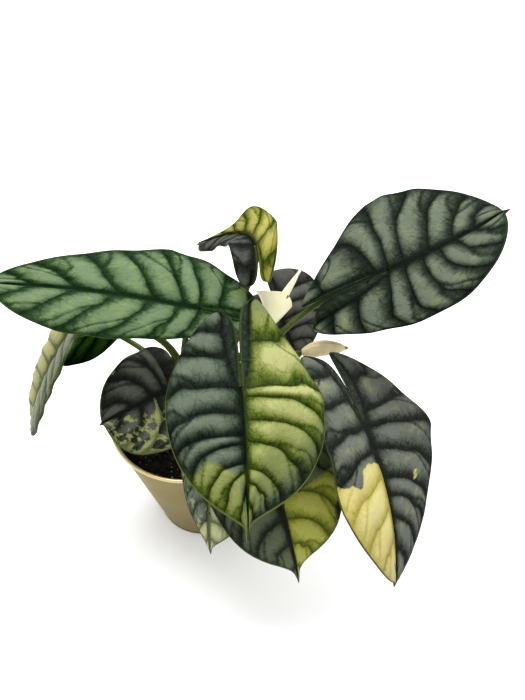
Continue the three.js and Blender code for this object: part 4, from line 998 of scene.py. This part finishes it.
def pot_material():
    m = Tree("pot_metal")
    place = m.place()
    cloud = m.noise(place, 30.0, 3.0)
    brushed = m.noise(m.vector("MULTIPLY", place, (60, 60, 2200)), 1.0, 2.0)
    z = m.add("SeparateXYZ", {0: place})[2]
    colour = m.mix(m.ramp(cloud, 0.3, 0.75), srgb(127, 118, 86), srgb(135, 126, 93))
    foot = m.ramp(z, FOOT_BAND_HEIGHT * MM, (FOOT_BAND_HEIGHT + 1.2) * MM, 1.0, 0.0)
    colour = m.mix(m.times(foot, 0.5), colour, srgb(84, 75, 48))
    # Lighter over the rolled rim: painted highlight along the rim
    rim = m.ramp(z, (POT_HEIGHT - RIM_HIGHLIGHT_HEIGHT - 0.6) * MM, (POT_HEIGHT - RIM_HIGHLIGHT_HEIGHT) * MM)
    colour = m.mix(rim, colour, srgb(196, 182, 130))
    rough = m.math("MULTIPLY_ADD", brushed, 0.08, 0.36)
    m.bump(m.plus(brushed, m.times(cloud, 0.5)), 0.06, 0.2 * MM)
    return m.finish(colour, rough, Metallic=0.9, Specular_IOR_Level=0.2, Specular_Tint=(0.8, 0.73, 0.54, 1))


def make_pot():
    angles = np.radians(np.linspace(-110, 200, BEAD_POINTS))
    bead = [(POT_RIM_RADIUS - RIM_BEAD_RADIUS + RIM_BEAD_RADIUS * cos(q),
             POT_HEIGHT - RIM_BEAD_RADIUS + RIM_BEAD_RADIUS * sin(q)) for q in angles]
    z_wall = np.linspace(FOOT_BAND_HEIGHT + 0.8, POT_HEIGHT - 3.2, WALL_POINTS)
    inner = [(wall_radius(z) - POT_WALL, z) for z in (POT_HEIGHT - 4, POT_HEIGHT - 20, POT_FLOOR)]
    profile = [(POT_FOOT_RADIUS - FOOT_FLAT, 0), (POT_FOOT_RADIUS - 0.9, 0), (POT_FOOT_RADIUS, 0.25),
               (POT_FOOT_RADIUS + FOOT_BAND_STEP, 0.9),
               (wall_radius(FOOT_BAND_HEIGHT) + FOOT_BAND_STEP, FOOT_BAND_HEIGHT),
               *((wall_radius(z), z) for z in z_wall), *bead, *inner]
    a = round_angles(POT_SEGMENTS)
    shape = skin_over([circle(np.array([0, 0, z]), X_AXIS, Y_AXIS, r, a) for r, z in profile])
    new_piece("planter", shape, pot_material(), "pot")


# Soil
def soil_height(x, y):
    lump = (np.sin(0.31 * x + 1.3) * np.cos(0.27 * y - 0.4) + 0.6 * np.sin(0.53 * x - 0.61 * y + 2.1)
            + 0.45 * np.cos(0.83 * y + 0.47 * x))
    return SOIL_TOP + SOIL_LUMP * 0.5 * lump


def crumb(rng, size, squash):
    """One small irregular lump of eight corners."""
    corners = np.array([(x, y, z) for x in (-1, 1) for y in (-1, 1) for z in (-1, 1)], float)
    corners = corners * rng.uniform(0.6, 1.1, corners.shape) * np.array([1, rng.uniform(0.6, 1.2), squash])
    turn = rng.uniform(0, 2 * pi)
    c, s = cos(turn), sin(turn)
    corners[:, :2] = corners[:, :2] @ np.array([[c, s], [-s, c]])
    faces = [(0, 1, 3, 2), (4, 6, 7, 5), (0, 4, 5, 1), (2, 3, 7, 6), (0, 2, 6, 4), (1, 5, 7, 3)]
    return corners * size * 0.5, faces


def soil_material():
    m = Tree("soil_mix")
    place = m.place()
    grit = m.noise(place, 900.0, 4.0, 0.7)
    cloud = m.noise(place, 120.0, 3.0)
    colour = m.mix(m.ramp(cloud, 0.3, 0.7), srgb(16, 12, 9), srgb(34, 26, 19))
    colour = m.mix(m.times(m.ramp(grit, 0.55, 0.72), 0.5), colour, srgb(58, 46, 34))
    m.bump(grit, 0.8, 1.0 * MM)
    return m.finish(colour, 0.9, Specular_IOR_Level=0.25)


def grain_material(name, light, dark):
    m = Tree(name)
    tone = m.noise(m.place(), 400.0, 2.0)
    return m.finish(m.mix(m.ramp(tone, 0.35, 0.65), srgb(*dark), srgb(*light)), 0.85)


SOIL_REACH = wall_radius(SOIL_TOP) - POT_WALL - 0.3
SOIL_SEGMENTS = 220
SOIL_RINGS = 74
SOIL_CREST = 1.9
CRUMB_CREST = 1.7
# Height, seed and size of each kind of bump
SOIL_BUMPS = ((0.8, 3, 3.1), (0.55, 4, 1.4), (0.35, 6, 0.8))


def make_soil_surface():
    a = round_angles(SOIL_SEGMENTS)
    rings = []
    for r in SOIL_REACH * np.linspace(0.012, 1, SOIL_RINGS):
        x, y = r * np.cos(a), r * np.sin(a)
        z = soil_height(x, y)
        for high, seed, size in SOIL_BUMPS:
            z = z + high * soft_noise(np.stack([x, y], -1), seed, size)
        z = np.minimum(z, SOIL_TOP + SOIL_CREST) - 1.2 * smooth(r, SOIL_REACH - 3, SOIL_REACH)
        rings.append(np.stack([x, y, z], -1))
    low = wall_radius(POT_FLOOR) - POT_WALL - 0.4
    rings.append(circle(np.array([0, 0, POT_FLOOR + 0.3]), X_AXIS, Y_AXIS, low, a))
    points, faces = skin_over(rings)
    new_piece("soil_surface", (points, [f[::-1] for f in faces]), soil_material(), "soil")


def scatter(rng, name, count, low_size, high_size, squash, material):
    """Strews small lumps over the soil, all in one piece."""
    points, faces = [], []
    total = 0
    for _ in range(count):
        r, q = (SOIL_REACH - 2) * sqrt(rng.uniform()), rng.uniform(0, 2 * pi)
        x, y = r * cos(q), r * sin(q)
        size = rng.uniform(low_size, high_size)
        corners, quads = crumb(rng, size, squash)
        z = float(soil_height(x, y)) + 0.2 * size
        points.append(corners + np.array([x, y, min(z, SOIL_TOP + CRUMB_CREST)]))
        faces += [[v + total for v in f] for f in quads]
        total += len(corners)
    new_piece(name, (np.concatenate(points), faces), material, None, smooth_shade=False)


def make_soil():
    make_soil_surface()
    rng = np.random.RandomState(5)
    scatter(rng, "soil_crumbs", 900, 0.9, 2.6, 0.7, grain_material("crumb", (32, 24, 17), (12, 9, 6)))
    scatter(rng, "soil_bark", 46, 2.2, 4.6, 0.4, grain_material("bark", (66, 42, 26), (32, 20, 13)))
    scatter(rng, "soil_grit", 190, 0.5, 1.0, 0.8, grain_material("grit", (214, 208, 196), (150, 144, 132)))


# Surroundings
CAMERA_PLACE = (0.0526, -0.2258, 0.4235)
CAMERA_LENS = 25.714
CAMERA_DOWN = 46.15
FLOOR_HALF = 6.0
SKY_STRENGTH = 1.15
KEY_PLACE = (0.0, 0.5, 1.45)
KEY_TARGET = (0.03, 0, 0.18)
KEY_SIZE = 1.3
KEY_POWER = 33


def make_camera():
    camera = new_object("Camera", bpy.data.cameras.new("Camera"))
    camera.data.lens = CAMERA_LENS
    camera.data.sensor_width = 36
    camera.data.clip_start = 0.01
    camera.location = CAMERA_PLACE
    camera.rotation_euler = (radians(90 - CAMERA_DOWN), 0, 0)
    bpy.context.scene.camera = camera


def make_floor():
    mesh = bpy.data.meshes.new("floor")
    corners = [(x * FLOOR_HALF, y * FLOOR_HALF, 0) for x, y in ((-1, -1), (1, -1), (1, 1), (-1, 1))]
    mesh.from_pydata(corners, [], [(0, 1, 2, 3)])
    mesh.materials.append(Tree("floor").finish(srgb(252, 252, 252), 0.9, Specular_IOR_Level=0.0))
    floor = new_object("floor", mesh)


def make_light():
    world = bpy.data.worlds.new("studio")
    world.use_nodes = True
    sky = world.node_tree.nodes["Background"]
    sky.inputs["Color"].default_value = (1, 1, 1, 1)
    sky.inputs["Strength"].default_value = SKY_STRENGTH
    bpy.context.scene.world = world
    light = bpy.data.lights.new("key", "AREA")
    light.shape, light.size, light.energy = "DISK", KEY_SIZE, KEY_POWER
    lamp = new_object("key", light)
    lamp.location = KEY_PLACE
    lamp.rotation_euler = (Vector(KEY_TARGET) - Vector(KEY_PLACE)).to_track_quat("-Z", "Y").to_euler()
    bpy.context.scene.view_settings.view_transform = "Standard"


make_camera()
make_floor()
make_light()
make_pot()
make_soil()
make_leaves()
make_stalks()
make_peduncles()
make_spathe()
make_spadix()
make_rolled_flower()
